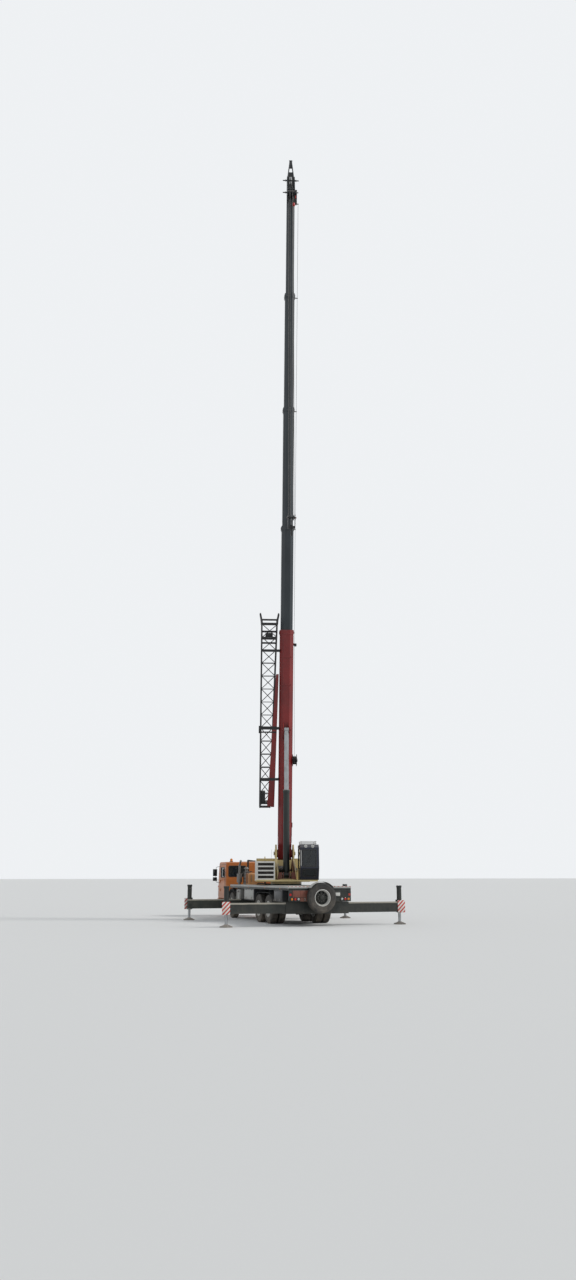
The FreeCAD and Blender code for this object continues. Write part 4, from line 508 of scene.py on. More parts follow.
dustColour = (0.46, 0.38, 0.28)
coatings = {  # finish: colour, its darker tone, what chips bare, roughness, dust, chips
    "chassis": ((0.011, 0.016, 0.014), (0.006, 0.009, 0.008), (0.09, 0.045, 0.03), 0.50, 0.13, 0.30),
    "cab_orange": ((0.56, 0.175, 0.040), (0.41, 0.115, 0.027), (0.13, 0.07, 0.04), 0.36, 0.48, 0.45),
    "deck_grey": ((0.47, 0.47, 0.44), (0.34, 0.34, 0.32), (0.15, 0.08, 0.04), 0.50, 0.50, 0.45),
    "boom_red": ((0.23, 0.013, 0.012), (0.15, 0.009, 0.009), (0.10, 0.05, 0.04), 0.38, 0.16, 0.25),
    "boom_slate": ((0.022, 0.030, 0.036), (0.013, 0.019, 0.024), (0.12, 0.10, 0.09), 0.40, 0.14, 0.15),
    "table_cream": ((0.62, 0.50, 0.24), (0.50, 0.39, 0.17), (0.17, 0.09, 0.04), 0.42, 0.45, 0.45),
    "cab_navy": ((0.009, 0.013, 0.030), (0.006, 0.009, 0.020), (0.10, 0.09, 0.09), 0.34, 0.18, 0.15),
    "jib_black": ((0.014, 0.014, 0.016), (0.009, 0.009, 0.010), (0.12, 0.06, 0.04), 0.42, 0.15, 0.30),
    "steel": ((0.26, 0.25, 0.24), (0.17, 0.16, 0.15), (0.14, 0.07, 0.035), 0.46, 0.45, 0.50),
    "whitePaint": ((0.72, 0.71, 0.67), (0.56, 0.55, 0.51), (0.18, 0.10, 0.05), 0.42, 0.35, 0.40),
    "signalRed": ((0.52, 0.018, 0.016), (0.40, 0.014, 0.013), (0.4, 0.4, 0.4), 0.38, 0.30, 0.20),
    "darkPlastic": ((0.018, 0.018, 0.019), (0.012, 0.012, 0.013), (0.05, 0.05, 0.05), 0.58, 0.35, 0.05),
    # Dark brown: paint on the tail panel and the oil tank's straps, and also painted shade between the turntable's
    # cheeks
    "brownPaintAndShade": ((0.19, 0.050, 0.028), (0.12, 0.034, 0.020), (0.08, 0.05, 0.035), 0.52, 0.45, 0.40),
    "tankOrange": ((0.66, 0.34, 0.15), (0.52, 0.24, 0.09), (0.20, 0.10, 0.05), 0.40, 0.40, 0.40),
    "boxDark": ((0.030, 0.036, 0.042), (0.020, 0.024, 0.029), (0.12, 0.07, 0.04), 0.42, 0.40, 0.35),
}


# The coating's colour with its darker tone in patches
def tonedPaint(tree, marks, name):
    colour, darker = coatings[name][:2]
    return mixColour(tree, rampNode(tree, marks["Tone"], 0.35, 0.65), darker, colour)


# Lays chips and then dust over a painted colour
def wearPaint(tree, shader, marks, painted, bare):
    chipped = mixColour(tree, marks["Chip Mask"], painted, bare)
    dusty = mixColour(tree, marks["Dust Mask"], chipped, dustColour)
    tree.links.new(dusty, shader.inputs["Base Color"])


def makeCoatings():
    for name, coating in coatings.items():
        bare, rough, dust, chips = coating[2:]
        tree, shader, vector = startFinish(name)
        marks = weather(tree, vector, dust, chips)
        wearPaint(tree, shader, marks, tonedPaint(tree, marks, name), bare)
        wearAndHighlight = mathNode(tree, "MAXIMUM", marks["Chip Mask"], marks["Dust Mask"])
        roughness = mathNode(tree, "ADD", mathNode(tree, "MULTIPLY", wearAndHighlight, 0.4), rough, True)
        tree.links.new(roughness, shader.inputs["Roughness"])
        if name == "steel":
            bareMetal = mathNode(tree, "SUBTRACT", 0.85, wearAndHighlight, True)
            tree.links.new(bareMetal, shader.inputs["Metallic"])
        bump(tree, shader, marks["Height"], 0.35, 0.002)


# The outrigger beams' coating, with a painted highlight: a pale band along the top of each side
beamEdgeHighlight = {"from": (0.812, 0.820), "to": (0.852, 0.856), "ragged": 0.03, "strength": 0.85,
            "colour": (0.42, 0.39, 0.32)}


def makeBeamCoating():
    tree, shader, vector = startFinish("beamCoating")
    bare, rough, dust, chips = coatings["chassis"][2:]
    marks = weather(tree, vector, dust, chips)
    height = tree.nodes.new("ShaderNodeSeparateXYZ")
    tree.links.new(vector, height.inputs[0])
    ragged = mathNode(tree, "MULTIPLY", noiseNode(tree, vector, 2.5, 5), beamEdgeHighlight["ragged"])
    edge = rampNode(tree, mathNode(tree, "ADD", height.outputs["Z"], ragged), *beamEdgeHighlight["from"])
    edge = mathNode(tree, "SUBTRACT", edge, rampNode(tree, height.outputs["Z"], *beamEdgeHighlight["to"]), True)
    # Painted highlight: the pale band stands for light along the beam's top edge
    wearAndHighlight = mathNode(tree, "MULTIPLY", edge, beamEdgeHighlight["strength"])
    edged = mixColour(tree, wearAndHighlight, tonedPaint(tree, marks, "chassis"), beamEdgeHighlight["colour"])
    wearPaint(tree, shader, marks, edged, bare)
    shader.inputs["Roughness"].default_value = rough
    bump(tree, shader, marks["Height"], 0.35, 0.002)


def makeTreadPlate():
    tree, shader, vector = startFinish("deckPlate")
    marks = weather(tree, vector, 0.55, 0.7)
    tread = tree.nodes.new("ShaderNodeGroup")
    tread.node_tree = treadPattern
    tree.links.new(vector, tread.inputs["Vector"])
    walked = mathNode(tree, "MULTIPLY", tread.outputs["Height"], 0.3)
    brightened = mixColour(tree, walked, tonedPaint(tree, marks, "deck_grey"), (0.62, 0.61, 0.58))
    wearPaint(tree, shader, marks, brightened, coatings["deck_grey"][2])
    shader.inputs["Roughness"].default_value = 0.55
    bump(tree, shader, tread.outputs["Height"], 0.6, 0.003)


def makeRubber():
    tree, shader, vector = startFinish("tyre")
    marks = weather(tree, vector, 0.75, 0.0)
    grain = noiseNode(tree, vector, 70, 4)
    base = mixColour(tree, rampNode(tree, marks["Tone"], 0.3, 0.7), (0.016, 0.016, 0.017), (0.030, 0.029, 0.028))
    dusty = mixColour(tree, marks["Dust Mask"], base, (0.30, 0.25, 0.19))
    tree.links.new(dusty, shader.inputs["Base Color"])
    shader.inputs["Roughness"].default_value = 0.78
    bump(tree, shader, grain, 0.35, 0.0015)


def makeChrome():
    tree, shader, vector = startFinish("rod_chrome")
    drawn = noiseNode(tree, stretchNode(tree, vector, (60, 60, 3)), 1.0, 2)
    smear = rampNode(tree, noiseNode(tree, vector, 6, 4), 0.45, 0.75)
    tree.links.new(mixColour(tree, smear, (0.36, 0.37, 0.38), (0.25, 0.25, 0.24)), shader.inputs["Base Color"])
    shader.inputs["Metallic"].default_value = 0.9
    roughness = mathNode(tree, "ADD", mathNode(tree, "MULTIPLY", smear, 0.12), 0.28, True)
    tree.links.new(roughness, shader.inputs["Roughness"])
    bump(tree, shader, drawn, 0.05, 0.0005)


def makeRope():
    tree, shader, vector = startFinish("wireRope")
    split = tree.nodes.new("ShaderNodeSeparateXYZ")
    tree.links.new(vector, split.inputs[0])
    across, sideways, along = [mathNode(tree, "MULTIPLY", split.outputs[axis], pitch)
                               for axis, pitch in (("X", 160), ("Y", 160), ("Z", 150))]
    lay = mathNode(tree, "SINE", mathNode(tree, "ADD", along, mathNode(tree, "ADD", across, sideways)))
    greased = mixColour(tree, rampNode(tree, lay, -0.6, 0.9), (0.030, 0.027, 0.024), (0.17, 0.16, 0.15))
    tree.links.new(greased, shader.inputs["Base Color"])
    shader.inputs["Metallic"].default_value = 0.6
    shader.inputs["Roughness"].default_value = 0.5
    bump(tree, shader, lay, 0.7, 0.002)


glassKinds = {  # finish: colour, share of light let through
    "tintedGlass": ((0.045, 0.060, 0.070), 0.70), "lensClear": ((0.90, 0.90, 0.86), 0.5),
    "lensRed": ((0.60, 0.015, 0.012), 0.25), "lensAmber": ((0.85, 0.28, 0.02), 0.3)}


def makeGlass():
    for name, (colour, clear) in glassKinds.items():
        tree, shader, vector = startFinish(name)
        shader.inputs["Transmission Weight"].default_value = clear
        shader.inputs["IOR"].default_value = 1.45
        dirt = rampNode(tree, noiseNode(tree, vector, 5, 5), 0.5, 0.8)
        dirtied = mixColour(tree, mathNode(tree, "MULTIPLY", dirt, 0.22), colour, dustColour)
        tree.links.new(dirtied, shader.inputs["Base Color"])
        roughness = mathNode(tree, "ADD", mathNode(tree, "MULTIPLY", dirt, 0.25), 0.04, True)
        tree.links.new(roughness, shader.inputs["Roughness"])
        if name != "tintedGlass":
            ribs = mathNode(tree, "SINE", mathNode(tree, "MULTIPLY", noiseNode(tree, vector, 40, 1), 60))
            bump(tree, shader, ribs, 0.2, 0.001)


def makeFabric():
    tree, shader, vector = startFinish("seat")
    warp = tree.nodes.new("ShaderNodeTexWave")
    warp.inputs["Scale"].default_value = 160
    weft = tree.nodes.new("ShaderNodeTexWave")
    weft.bands_direction = "Z"
    weft.inputs["Scale"].default_value = 160
    for node in (warp, weft):
        tree.links.new(vector, node.inputs["Vector"])
    weave = mathNode(tree, "MULTIPLY", warp.outputs["Fac"], weft.outputs["Fac"])
    tree.links.new(mixColour(tree, weave, (0.028, 0.030, 0.036), (0.075, 0.080, 0.092)), shader.inputs["Base Color"])
    shader.inputs["Roughness"].default_value = 0.9
    shader.inputs["Sheen Weight"].default_value = 0.3
    bump(tree, shader, weave, 0.5, 0.0008)


def makeBandedPaint():
    tree, shader, vector = startFinish("redWhiteBands")
    marks = weather(tree, vector, 0.45, 0.5)
    bands = tree.nodes.new("ShaderNodeGroup")
    bands.node_tree = slantedBands
    bands.inputs["Pitch"].default_value = 6.5
    tree.links.new(vector, bands.inputs["Vector"])
    striped = mixColour(tree, bands.outputs["Mask"], (0.72, 0.71, 0.67), (0.50, 0.03, 0.025))
    wearPaint(tree, shader, marks, striped, (0.2, 0.12, 0.08))
    shader.inputs["Roughness"].default_value = 0.45
    bump(tree, shader, marks["Height"], 0.3, 0.001)


makeCoatings()
makeBeamCoating()
makeTreadPlate()
makeRubber()
makeChrome()
makeRope()
makeGlass()
makeFabric()
makeBandedPaint()

slotFinishes = {"lamp": "lensClear"}
nodeFinishes = {"deck_plates": "deckPlate", "rope_falls": "wireRope", "engine_block": "steel", "side_boxes": "boxDark",
                "mudguards": "boxDark", "cooler_housing": "whitePaint"}
nodeFinishes.update({nodeName: "beamCoating" for nodeName in cadNodes if nodeName.startswith("outrigger_beam")})
for part in record["subparts"]:
    slotName = part["material_slot"]
    finish = nodeFinishes.get(part["node"], slotFinishes.get(slotName, slotName))
    for meshSlot in cadNodes[part["node"]].material_slots:
        meshSlot.material = finishes[finish]


# Gives those faces of a CAD node that pass the test another finish
def repaint(nodeName, finish, wanted):
    mesh = cadNodes[nodeName].data
    mesh.materials.append(finishes[finish])
    for face in mesh.polygons:
        if wanted(face.center):
            face.material_index = len(mesh.materials) - 1


# Where one finish of a node ends and the other begins
limits = {"floatTop": 0.112, "cheekInside": 0.345, "tableTop": 1.70, "tankFoot": 1.441, "lidFrom": 1.5, "lidTop": 1.31}


# Faces between the turntable's cheeks, above the table top, which take the dark brown as painted shade
def betweenCheeks(centre):
    local = upPlace.inverted() @ centre
    return abs(local.y) < limits["cheekInside"] and local.z > limits["tableTop"]


for nodeName in cadNodes:
    if nodeName.startswith("outrigger_jack"):
        repaint(nodeName, "steel", lambda centre: centre.z < limits["floatTop"])
# Painted shade: the turntable's faces between its cheeks are repainted dark brown
repaint("turntable", "brownPaintAndShade", betweenCheeks)
repaint("side_boxes", "tankOrange", lambda centre: centre.z > limits["tankFoot"])
repaint("side_boxes", "deck_grey", lambda centre: centre.x > limits["lidFrom"] and centre.z < limits["lidTop"])
print("finishes made:", len(finishes))


# Road wheels, each local frame with x outwards and zero at the tyre's outer face: a spun sector of tyre with
# raised blocks, turned rim, pressed disc with hand holes, hub and nuts
tyreSizes = {"radius": 0.55, "width": 0.28, "twinGap": 0.044, "outerFace": 1.235, "bead": 0.29, "blockHigh": 0.013,
             "clear": 0.002, "sectors": 36, "stepsPerSector": 5, "ribEdges": (0.112, 0.070, 0.060, 0.026, 0.017),
             "sideWall": ((0.006, 0.335), (0.001, 0.385), (0.0, 0.425), (0.003, 0.462), (0.001, 0.466),
                          (0.005, 0.478), (0.012, 0.510))}  # sideWall: inset from the tyre's face, radius
rimSizes = {"seat": 0.290, "wall": 0.012, "disc": 0.016, "hubRadius": 0.120, "hubOut": 0.104, "nutCircle": 0.143,
            "nuts": 10, "handHoles": 8, "handHoleCircle": 0.200, "handHole": 0.033, "discEdge": 0.034}


def makeTyre(name):
    half, clear, edges = tyreSizes["width"] / 2, tyreSizes["clear"], tyreSizes["ribEdges"]
    tread = tyreSizes["radius"] - tyreSizes["blockHigh"] - clear
    side = [(half - 0.030, tyreSizes["bead"] - 0.012), (half - 0.026, tyreSizes["bead"] + 0.012)]
    side += [(half - inset, radius) for inset, radius in tyreSizes["sideWall"]] + [(half - 0.024, tread - 0.006)]
    crown = [(edge, tread + 0.0008 * i) for i, edge in enumerate(edges)]
    profile = side + crown + [(-along, radius) for along, radius in reversed(side + crown)]
    sector = 2 * math.pi / tyreSizes["sectors"]
    piece = asMesh(drawnCurve(name, [[(along, 0, radius) for along, radius in profile]], False, False))
    bpy.ops.object.mode_set(mode="EDIT")
    bpy.ops.mesh.select_all(action="SELECT")
    bpy.ops.mesh.spin(steps=tyreSizes["stepsPerSector"], angle=sector, center=(0, 0, 0), axis=(1, 0, 0))
    bpy.ops.mesh.select_all(action="SELECT")
    bpy.ops.mesh.normals_make_consistent(inside=False)
    bpy.ops.mesh.select_mode(type="FACE")
    bpy.ops.mesh.select_all(action="DESELECT")
    bpy.ops.object.mode_set(mode="OBJECT")
    outwards = sum(face.normal.dot(Vector((0, *face.center.yz)))
                   for face in piece.data.polygons if abs(face.center.x) < edges[0])
    if outwards < 0:
        piece.data.flip_normals()
    for face in piece.data.polygons:
        along = abs(face.center.x)
        turn = abs(math.atan2(face.center.y, face.center.z)) / sector * tyreSizes["stepsPerSector"]
        shoulder = edges[1] < along < edges[0]
        middle = edges[3] < along < edges[2]
        slot = 4 if shoulder else 2 if middle else 0
        face.select = (shoulder or middle or along < edges[4]) and int(turn) != slot
    bpy.ops.object.mode_set(mode="EDIT")
    raised = tyreSizes["blockHigh"] - clear
    bpy.ops.mesh.extrude_region_shrink_fatten(TRANSFORM_OT_shrink_fatten={"value": raised})
    bpy.ops.mesh.select_mode(type="VERT")
    bpy.ops.object.mode_set(mode="OBJECT")
    piece = copied(piece, [Matrix.Rotation(i * sector, 4, "X") for i in range(tyreSizes["sectors"])])
    bpy.ops.object.mode_set(mode="EDIT")
    mergeAndFaceOut(0.0004)
    return settle(piece, Matrix.Translation((-half, 0, 0)), "tyre")


def circleLoop(radius, count=48, centre=(0, 0)):
    return [(centre[0] + radius * math.cos(turn), centre[1] + radius * math.sin(turn)) for turn in evenTurns(count)]


# The rim's barrel is as deep as the wheel is wide, and discFace is the outer face of its disc
def makeRim(name, depth, discFace, discFinish="whitePaint"):
    seat, wall, disc, hubRadius = (rimSizes[size] for size in ("seat", "wall", "disc", "hubRadius"))
    outer = [(-0.014, seat + 0.016), (-0.008, seat + 0.018), (-0.006, seat + 0.004), (-0.030, seat - 0.004),
             (-0.075, seat - 0.010), (-0.110, seat - 0.030)]
    inner = [(-0.110, seat - 0.030 - wall), (-0.080, seat - 0.020 - wall), (-0.030, seat - 0.006 - wall),
             (-0.016, seat - 0.004)]
    profile = outer + [(-depth - along, radius) for along, radius in reversed(outer)]
    profile += [(-depth - along, radius) for along, radius in reversed(inner)] + inner + [outer[0]]
    barrel = lathe(name + "Barrel", profile, "whitePaint")
    turns = [2 * math.pi * (i + 0.5) / rimSizes["handHoles"] for i in range(rimSizes["handHoles"])]
    circle = rimSizes["handHoleCircle"]
    holes = [circleLoop(rimSizes["handHole"], 14, (circle * math.cos(turn), circle * math.sin(turn)))
             for turn in turns]
    across = Matrix.Translation((discFace - disc / 2, 0, 0)) @ Matrix.Rotation(math.pi / 2, 4, "Y")
    loops = [circleLoop(seat - rimSizes["discEdge"]), circleLoop(hubRadius - 0.02, 32)] + holes
    pressed = plate(name + "Disc", loops, disc, discFinish, across, 0.003)
    end = discFace + rimSizes["hubOut"]
    hub = lathe(name + "Hub", [(discFace - 0.085, 0.0), (discFace - 0.085, hubRadius), (discFace + 0.010, hubRadius),
                               (discFace + 0.018, hubRadius - 0.008), (discFace + 0.022, 0.098),
                               (end - 0.032, 0.088), (end - 0.026, 0.074), (end - 0.008, 0.068), (end, 0.058),
                               (end, 0.0)], "chassis", steps=32)
    out = rimSizes["nutCircle"]
    nut = drum(name + "Nuts", (discFace - 0.002, 0, out), (discFace + 0.028, 0, out), 0.0155, "steel", sides=6,
               endRadius=0.0135)
    stud = drum(name + "Studs", (discFace + 0.026, 0, out), (discFace + 0.044, 0, out), 0.009, "steel", sides=8)
    spread = [Matrix.Rotation(turn, 4, "X") for turn in evenTurns(rimSizes["nuts"])]
    return [barrel, pressed, hub, copied(joined(name + "Nuts", [nut, stud]), spread)]


def makeWheels():
    width, gap = tyreSizes["width"], tyreSizes["twinGap"]
    outwards = Matrix.Rotation(math.pi / 2, 4, "Z")
    single = joined("frontWheelForm", [makeTyre("frontTyre"), *makeRim("front", width, -0.62 * width)])
    tyres = copied(makeTyre("twinTyres"), [ground, Matrix.Translation((-width - gap, 0, 0))])
    twin = joined("rearWheelForm", [tyres, *makeRim("rear", 2 * width + gap, -width - gap / 2)])
    for form, names in ((single, ["front_wheel"]), (twin, ["rear_wheel_1", "rear_wheel_2"])):
        for name in names:
            axle = jointPoint(name + "_left_spin")
            left = form.copy()
            left.data = form.data.copy()
            bpy.context.scene.collection.objects.link(left)
            left.data.transform(Matrix.Translation((axle.x, tyreSizes["outerFace"], axle.z)) @ outwards)
            for side, wheel in (("left", left), ("right", mirroredTwin(name, left))):
                whole = mount(f"{name}_{side}_visual", wheel, bodyOf[f"{name}_{side}"])
                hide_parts(f"{name}_{side}")
        bpy.data.objects.remove(form)
    spare = joined("spareForm", [makeTyre("spareTyre"), *makeRim("spare", width, -0.5 * width - 0.010, "chassis")])
    low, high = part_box("spare_wheel")
    spare.data.transform(rearwards((low[0], 0, (low[2] + high[2]) / 2)))
    whole = mount("spare_wheel_visual", spare, "root")
    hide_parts("spare_wheel")


bodyOf = {nodeName: body for body, nodeNames in record["behaviour"]["bodies"].items() for nodeName in nodeNames}
boomNodes = ["boom_base", "boom_section_1", "boom_section_2", "boom_section_3", "boom_section_4"]
makeWheels()
print("wheels made")

# Ropes: hoist rope from the winch over the boom's back to the head, and the falls down to the block
ropeSizes = {"radius": 0.009, "back": 0.540, "turnPitch": 0.0195, "drumRadius": 0.165, "drumHalf": 0.215,
             "guides": (0.50, 9.525, 14.105, 19.405, 24.585),  # along the boom, the foot guide first
             "sheave": (30.0, 0.16), "wrapRadius": 0.184, "meetsSheave": (29.93, 0, 0.334),
             "innerFalls": 0.06, "outerFalls": 0.118}


def ropeSpan(name, start, end, place):
    return drum(name, start, end, ropeSizes["radius"], "wireRope", place, sides=10)


# Winds the drum and returns the point where the rope leaves it
def makeDrumRope():
    low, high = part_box("winch_drum")
    centre = upPlace.inverted() @ ((Vector(low) + Vector(high)) / 2)
    radius, half, steps = ropeSizes["drumRadius"] + ropeSizes["radius"], ropeSizes["drumHalf"], 24
    count = int(2 * half / ropeSizes["turnPitch"]) * steps
    turns = []
    for i in range(count + 1):
        turn = 2 * math.pi * i / steps
        turns.append((centre.x + radius * math.sin(turn), -half + 2 * half * i / count,
                      centre.z + radius * math.cos(turn)))
    coil = pipe("drumRope", turns, ropeSizes["radius"], "wireRope", upPlace, roundness=1)
    mount("drum_rope", coil, bodyOf["winch_drum"], 60)
    return upPlace @ (centre + Vector((-0.03, 0, radius)))


def makeBoomRope(leave):
    guides, back, meets = ropeSizes["guides"], ropeSizes["back"], ropeSizes["meetsSheave"]
    foot = guides[0]
    arrive = boomPlace @ Vector((foot, 0, back))
    first = ropeSpan("winch_rope", leave, arrive, ground)
    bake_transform(first)
    onBase = ropeSpan("baseRope", (foot, 0, back), (guides[1], 0, back), boomPlace)
    mount("base_rope", onBase, "boom_base")
    footGuide = [drum("footGuideRoller", (foot, -0.064, 0.505), (foot, 0.064, 0.505), 0.026, "steel", boomPlace,
                      bevel=0.003)]
    footGuide += [block("footGuideEar", (foot - 0.035, y - 0.008, 0.440), (foot + 0.035, y + 0.008, 0.534),
                        "boom_red", boomPlace, 0.004) for y in (-0.070, 0.070)]
    mount("foot_rope_guide", footGuide, "boom_base")
    ends = [boomPlace @ Vector(point) for point in [(along, 0, back) for along in guides[1:]] + [meets]]
    for i, (start, end) in enumerate(zip(ends, ends[1:])):
        span = ropeSpan(f"section_rope_{i + 1}", start, end, ground)
        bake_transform(span)
    along, height = ropeSizes["sheave"]
    wrap = [meets]
    for degrees in range(105, -91, -15):
        turn = math.radians(degrees)
        wrap.append((along + ropeSizes["wrapRadius"] * math.cos(turn), 0,
                     height + ropeSizes["wrapRadius"] * math.sin(turn)))
    wrap += [(29.62, 0.02, -0.20), (29.40, 0.06, -0.372)]
    overHead = pipe("headRope", wrap, ropeSizes["radius"], "wireRope", boomPlace)
    mount("head_rope", overHead, bodyOf["boom_section_4"], 60)


def makeFalls():
    low, high = localBox("rope_falls", hangPlace)
    radius, near, far = ropeSizes["radius"], ropeSizes["innerFalls"], ropeSizes["outerFalls"]
    spots = [(high.x - radius, near), (high.x - radius, -near), (low.x + radius, far), (low.x + radius, -far)]
    lines = [ropeSpan("fall", (x, y, low.z), (x, y, high.z), hangPlace) for x, y in spots]
    falls = joined("rope_falls_visual", lines)
    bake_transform(falls)
    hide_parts("rope_falls")


# Window panes with their rubber seals, drawn in the plane of each wall
forwards, left, up = Vector((1, 0, 0)), Vector((0, 1, 0)), Vector((0, 0, 1))
glassSizes = {"pane": 0.006, "paneOver": 0.006, "sealOver": 0.016, "sealInside": 0.014, "bend": 0.075,
              "carrierSkin": 0.045, "operatorSkin": 0.040, "doorSkin": 0.020}


def rectangle(wide, high):
    return [(-wide / 2, -high / 2), (wide / 2, -high / 2), (wide / 2, high / 2), (-wide / 2, high / 2)]


def grown(corners, amount):
    moved = []
    for i, corner in enumerate(corners):
        before, here, after = (Vector(point) for point in (corners[i - 1], corner, corners[(i + 1) % len(corners)]))
        first, second = (here - before).normalized(), (after - here).normalized()
        outwards = Vector((first.y, -first.x)) + Vector((second.y, -second.x))
        moved.append(here + outwards * amount / (1 + first.dot(second)))
    return moved


def softLoop(corners, bend):
    return [(point.x, point.y) for point in roundedRoute([(*corner, 0) for corner in corners], bend, True)]


# Pane and seal for one opening; the place's z axis points outwards and zero is the middle of the wall
def glazed(name, corners, place, skin):
    bend = glassSizes["bend"]
    pane = plate(name + "Pane", [softLoop(grown(corners, glassSizes["paneOver"]), bend)], glassSizes["pane"],
                 "tintedGlass", place)
    rims = [softLoop(grown(corners, glassSizes["sealOver"]), bend + 0.012),
            softLoop(grown(corners, -glassSizes["sealInside"]), bend)]
    return [pane, plate(name + "Seal", rims, skin + 0.014, "darkPlastic", place, 0.002)]


carrierPanes = {"rear": (0.82, 0.48), "rearAt": (4.0225, 0.71, 2.02), "screen": (1.09, 0.519),
                "screenAt": (5.339, 0.585, 2.01), "screenSlope": (-0.17, 0, 0.61), "screenSunk": 0.0215,
                "door": (0.70, 0.444), "doorAt": (4.62, 1.2175, 1.972)}


def makeCarrierGlass():
    skin, slope = glassSizes["carrierSkin"], Vector(carrierPanes["screenSlope"]).normalized()
    fixed = []
    x, y, z = carrierPanes["rearAt"]
    for across in (y, -y):
        place = framePlace(Vector((x, across, z)), -left, up)
        fixed += glazed("rearWindow", rectangle(*carrierPanes["rear"]), place, skin)
    normal = left.cross(slope)
    x, y, z = carrierPanes["screenAt"]
    for across in (y, -y):
        middle = Vector((x, across, z)) - normal * carrierPanes["screenSunk"]
        fixed += glazed("screen", rectangle(*carrierPanes["screen"]), framePlace(middle, left, slope), skin)
    mount("carrier_cab_glass", fixed, "root", 40)
    place = framePlace(Vector(carrierPanes["doorAt"]), -forwards, up)
    leftDoor = joined("door_glass_left", glazed("doorGlass", rectangle(*carrierPanes["door"]), place, skin))
    rightDoor = mirroredTwin("door_glass_right", leftDoor)
    mount("door_glass_left", leftDoor, bodyOf["cab_door_left"], 40)
    mount("door_glass_right", rightDoor, bodyOf["cab_door_right"], 40)


operatorPanes = [  # pane: width and height, middle, direction to its right, direction upwards along it
    ("upperScreen", (0.57, 0.682), (1.181, 0.88, 2.519), left, Vector((-0.06, 0, 0.82)).normalized()),
    ("lowerScreen", (0.57, 0.333), (1.108, 0.88, 1.945), left, Vector((0.26, 0, 0.46)).normalized()),
    ("innerWindow", (1.245, 0.78), (0.3075, 0.54, 2.51), forwards, up),
    ("rearPane", (0.53, 0.66), (-0.40, 0.88, 2.57), -left, up),
    ("hatch", (0.91, 0.49), (0.295, 0.88, 3.04), forwards, left)]
operatorDoorPane = {"corners": [(-1.07, 2.15), (-0.93, 2.90), (0.32, 2.90), (0.32, 2.12)], "out": 1.2635}


def makeOperatorGlass():
    fixed = []
    for name, size, middle, rightwards, upwards in operatorPanes:
        place = upPlace @ framePlace(Vector(middle), rightwards, upwards)
        fixed += glazed(name, rectangle(*size), place, glassSizes["operatorSkin"])
    mount("operator_cab_glass", fixed, bodyOf["operator_cab"], 40)
    place = upPlace @ framePlace(Vector((0, operatorDoorPane["out"], 0)), -forwards, up)
    door = glazed("operatorDoor", operatorDoorPane["corners"], place, glassSizes["doorSkin"])
    mount("operator_door_glass", door, bodyOf["operator_door"], 40)


makeBoomRope(makeDrumRope())
makeFalls()
makeCarrierGlass()
makeOperatorGlass()
print("ropes and windows made")


# Driver's cab: lamps, mirrors, wipers, handles, roof lights and what shows through the glass.
# Here a left-hand piece and its twin on the other side become one.
def mirrored(name, pieces, body, smooth=35):
    whole = joined(name, pieces)
    return mount(name, [whole, mirroredTwin(name + "Twin", whole)], body, smooth)


# Round lamp: bezel, bowl and a domed ribbed lens, facing along the given direction
def lampUnit(name, centre, facing, radius, deep, lens, rim="steel"):
    place = Matrix.Translation(centre) @ Vector(facing).to_track_quat("X", "Z").to_matrix().to_4x4()
    body = lathe(name + "Body", [(-deep, 0), (-deep, radius * 0.7), (-deep * 0.4, radius * 0.98), (0, radius),
                                 (0.006, radius * 0.97), (0.004, radius * 0.88), (-0.006, radius * 0.86),
                                 (-deep * 0.5, radius * 0.45), (-deep * 0.5, 0)], rim, place, 28)
    glass = lathe(name + "Lens", [(-0.002, 0), (-0.002, radius * 0.87), (0.003, radius * 0.84),
                                  (0.009, radius * 0.55), (0.012, 0)], lens, place, 28)
    return [body, glass]


# Places are for the left side, unless a piece stands in the middle
cabFront = {"headLamp": (5.462, 1.02, 0.94), "headLampRadius": 0.094, "fogLamp": (5.499, 0.91, 0.66),
            "fogLampRadius": 0.048, "grille": (5.426, 0, 1.127), "grilleSize": (0.92, 0.37), "grilleBars": 5,
            "barPitch": 0.070, "towPins": 0.42, "screenFoot": (5.42, 1.735), "wipers": (-0.75, -0.30, 0.32, 0.78),
            "wiperReach": 0.34, "wiperLean": 0.16, "blade": 0.44}


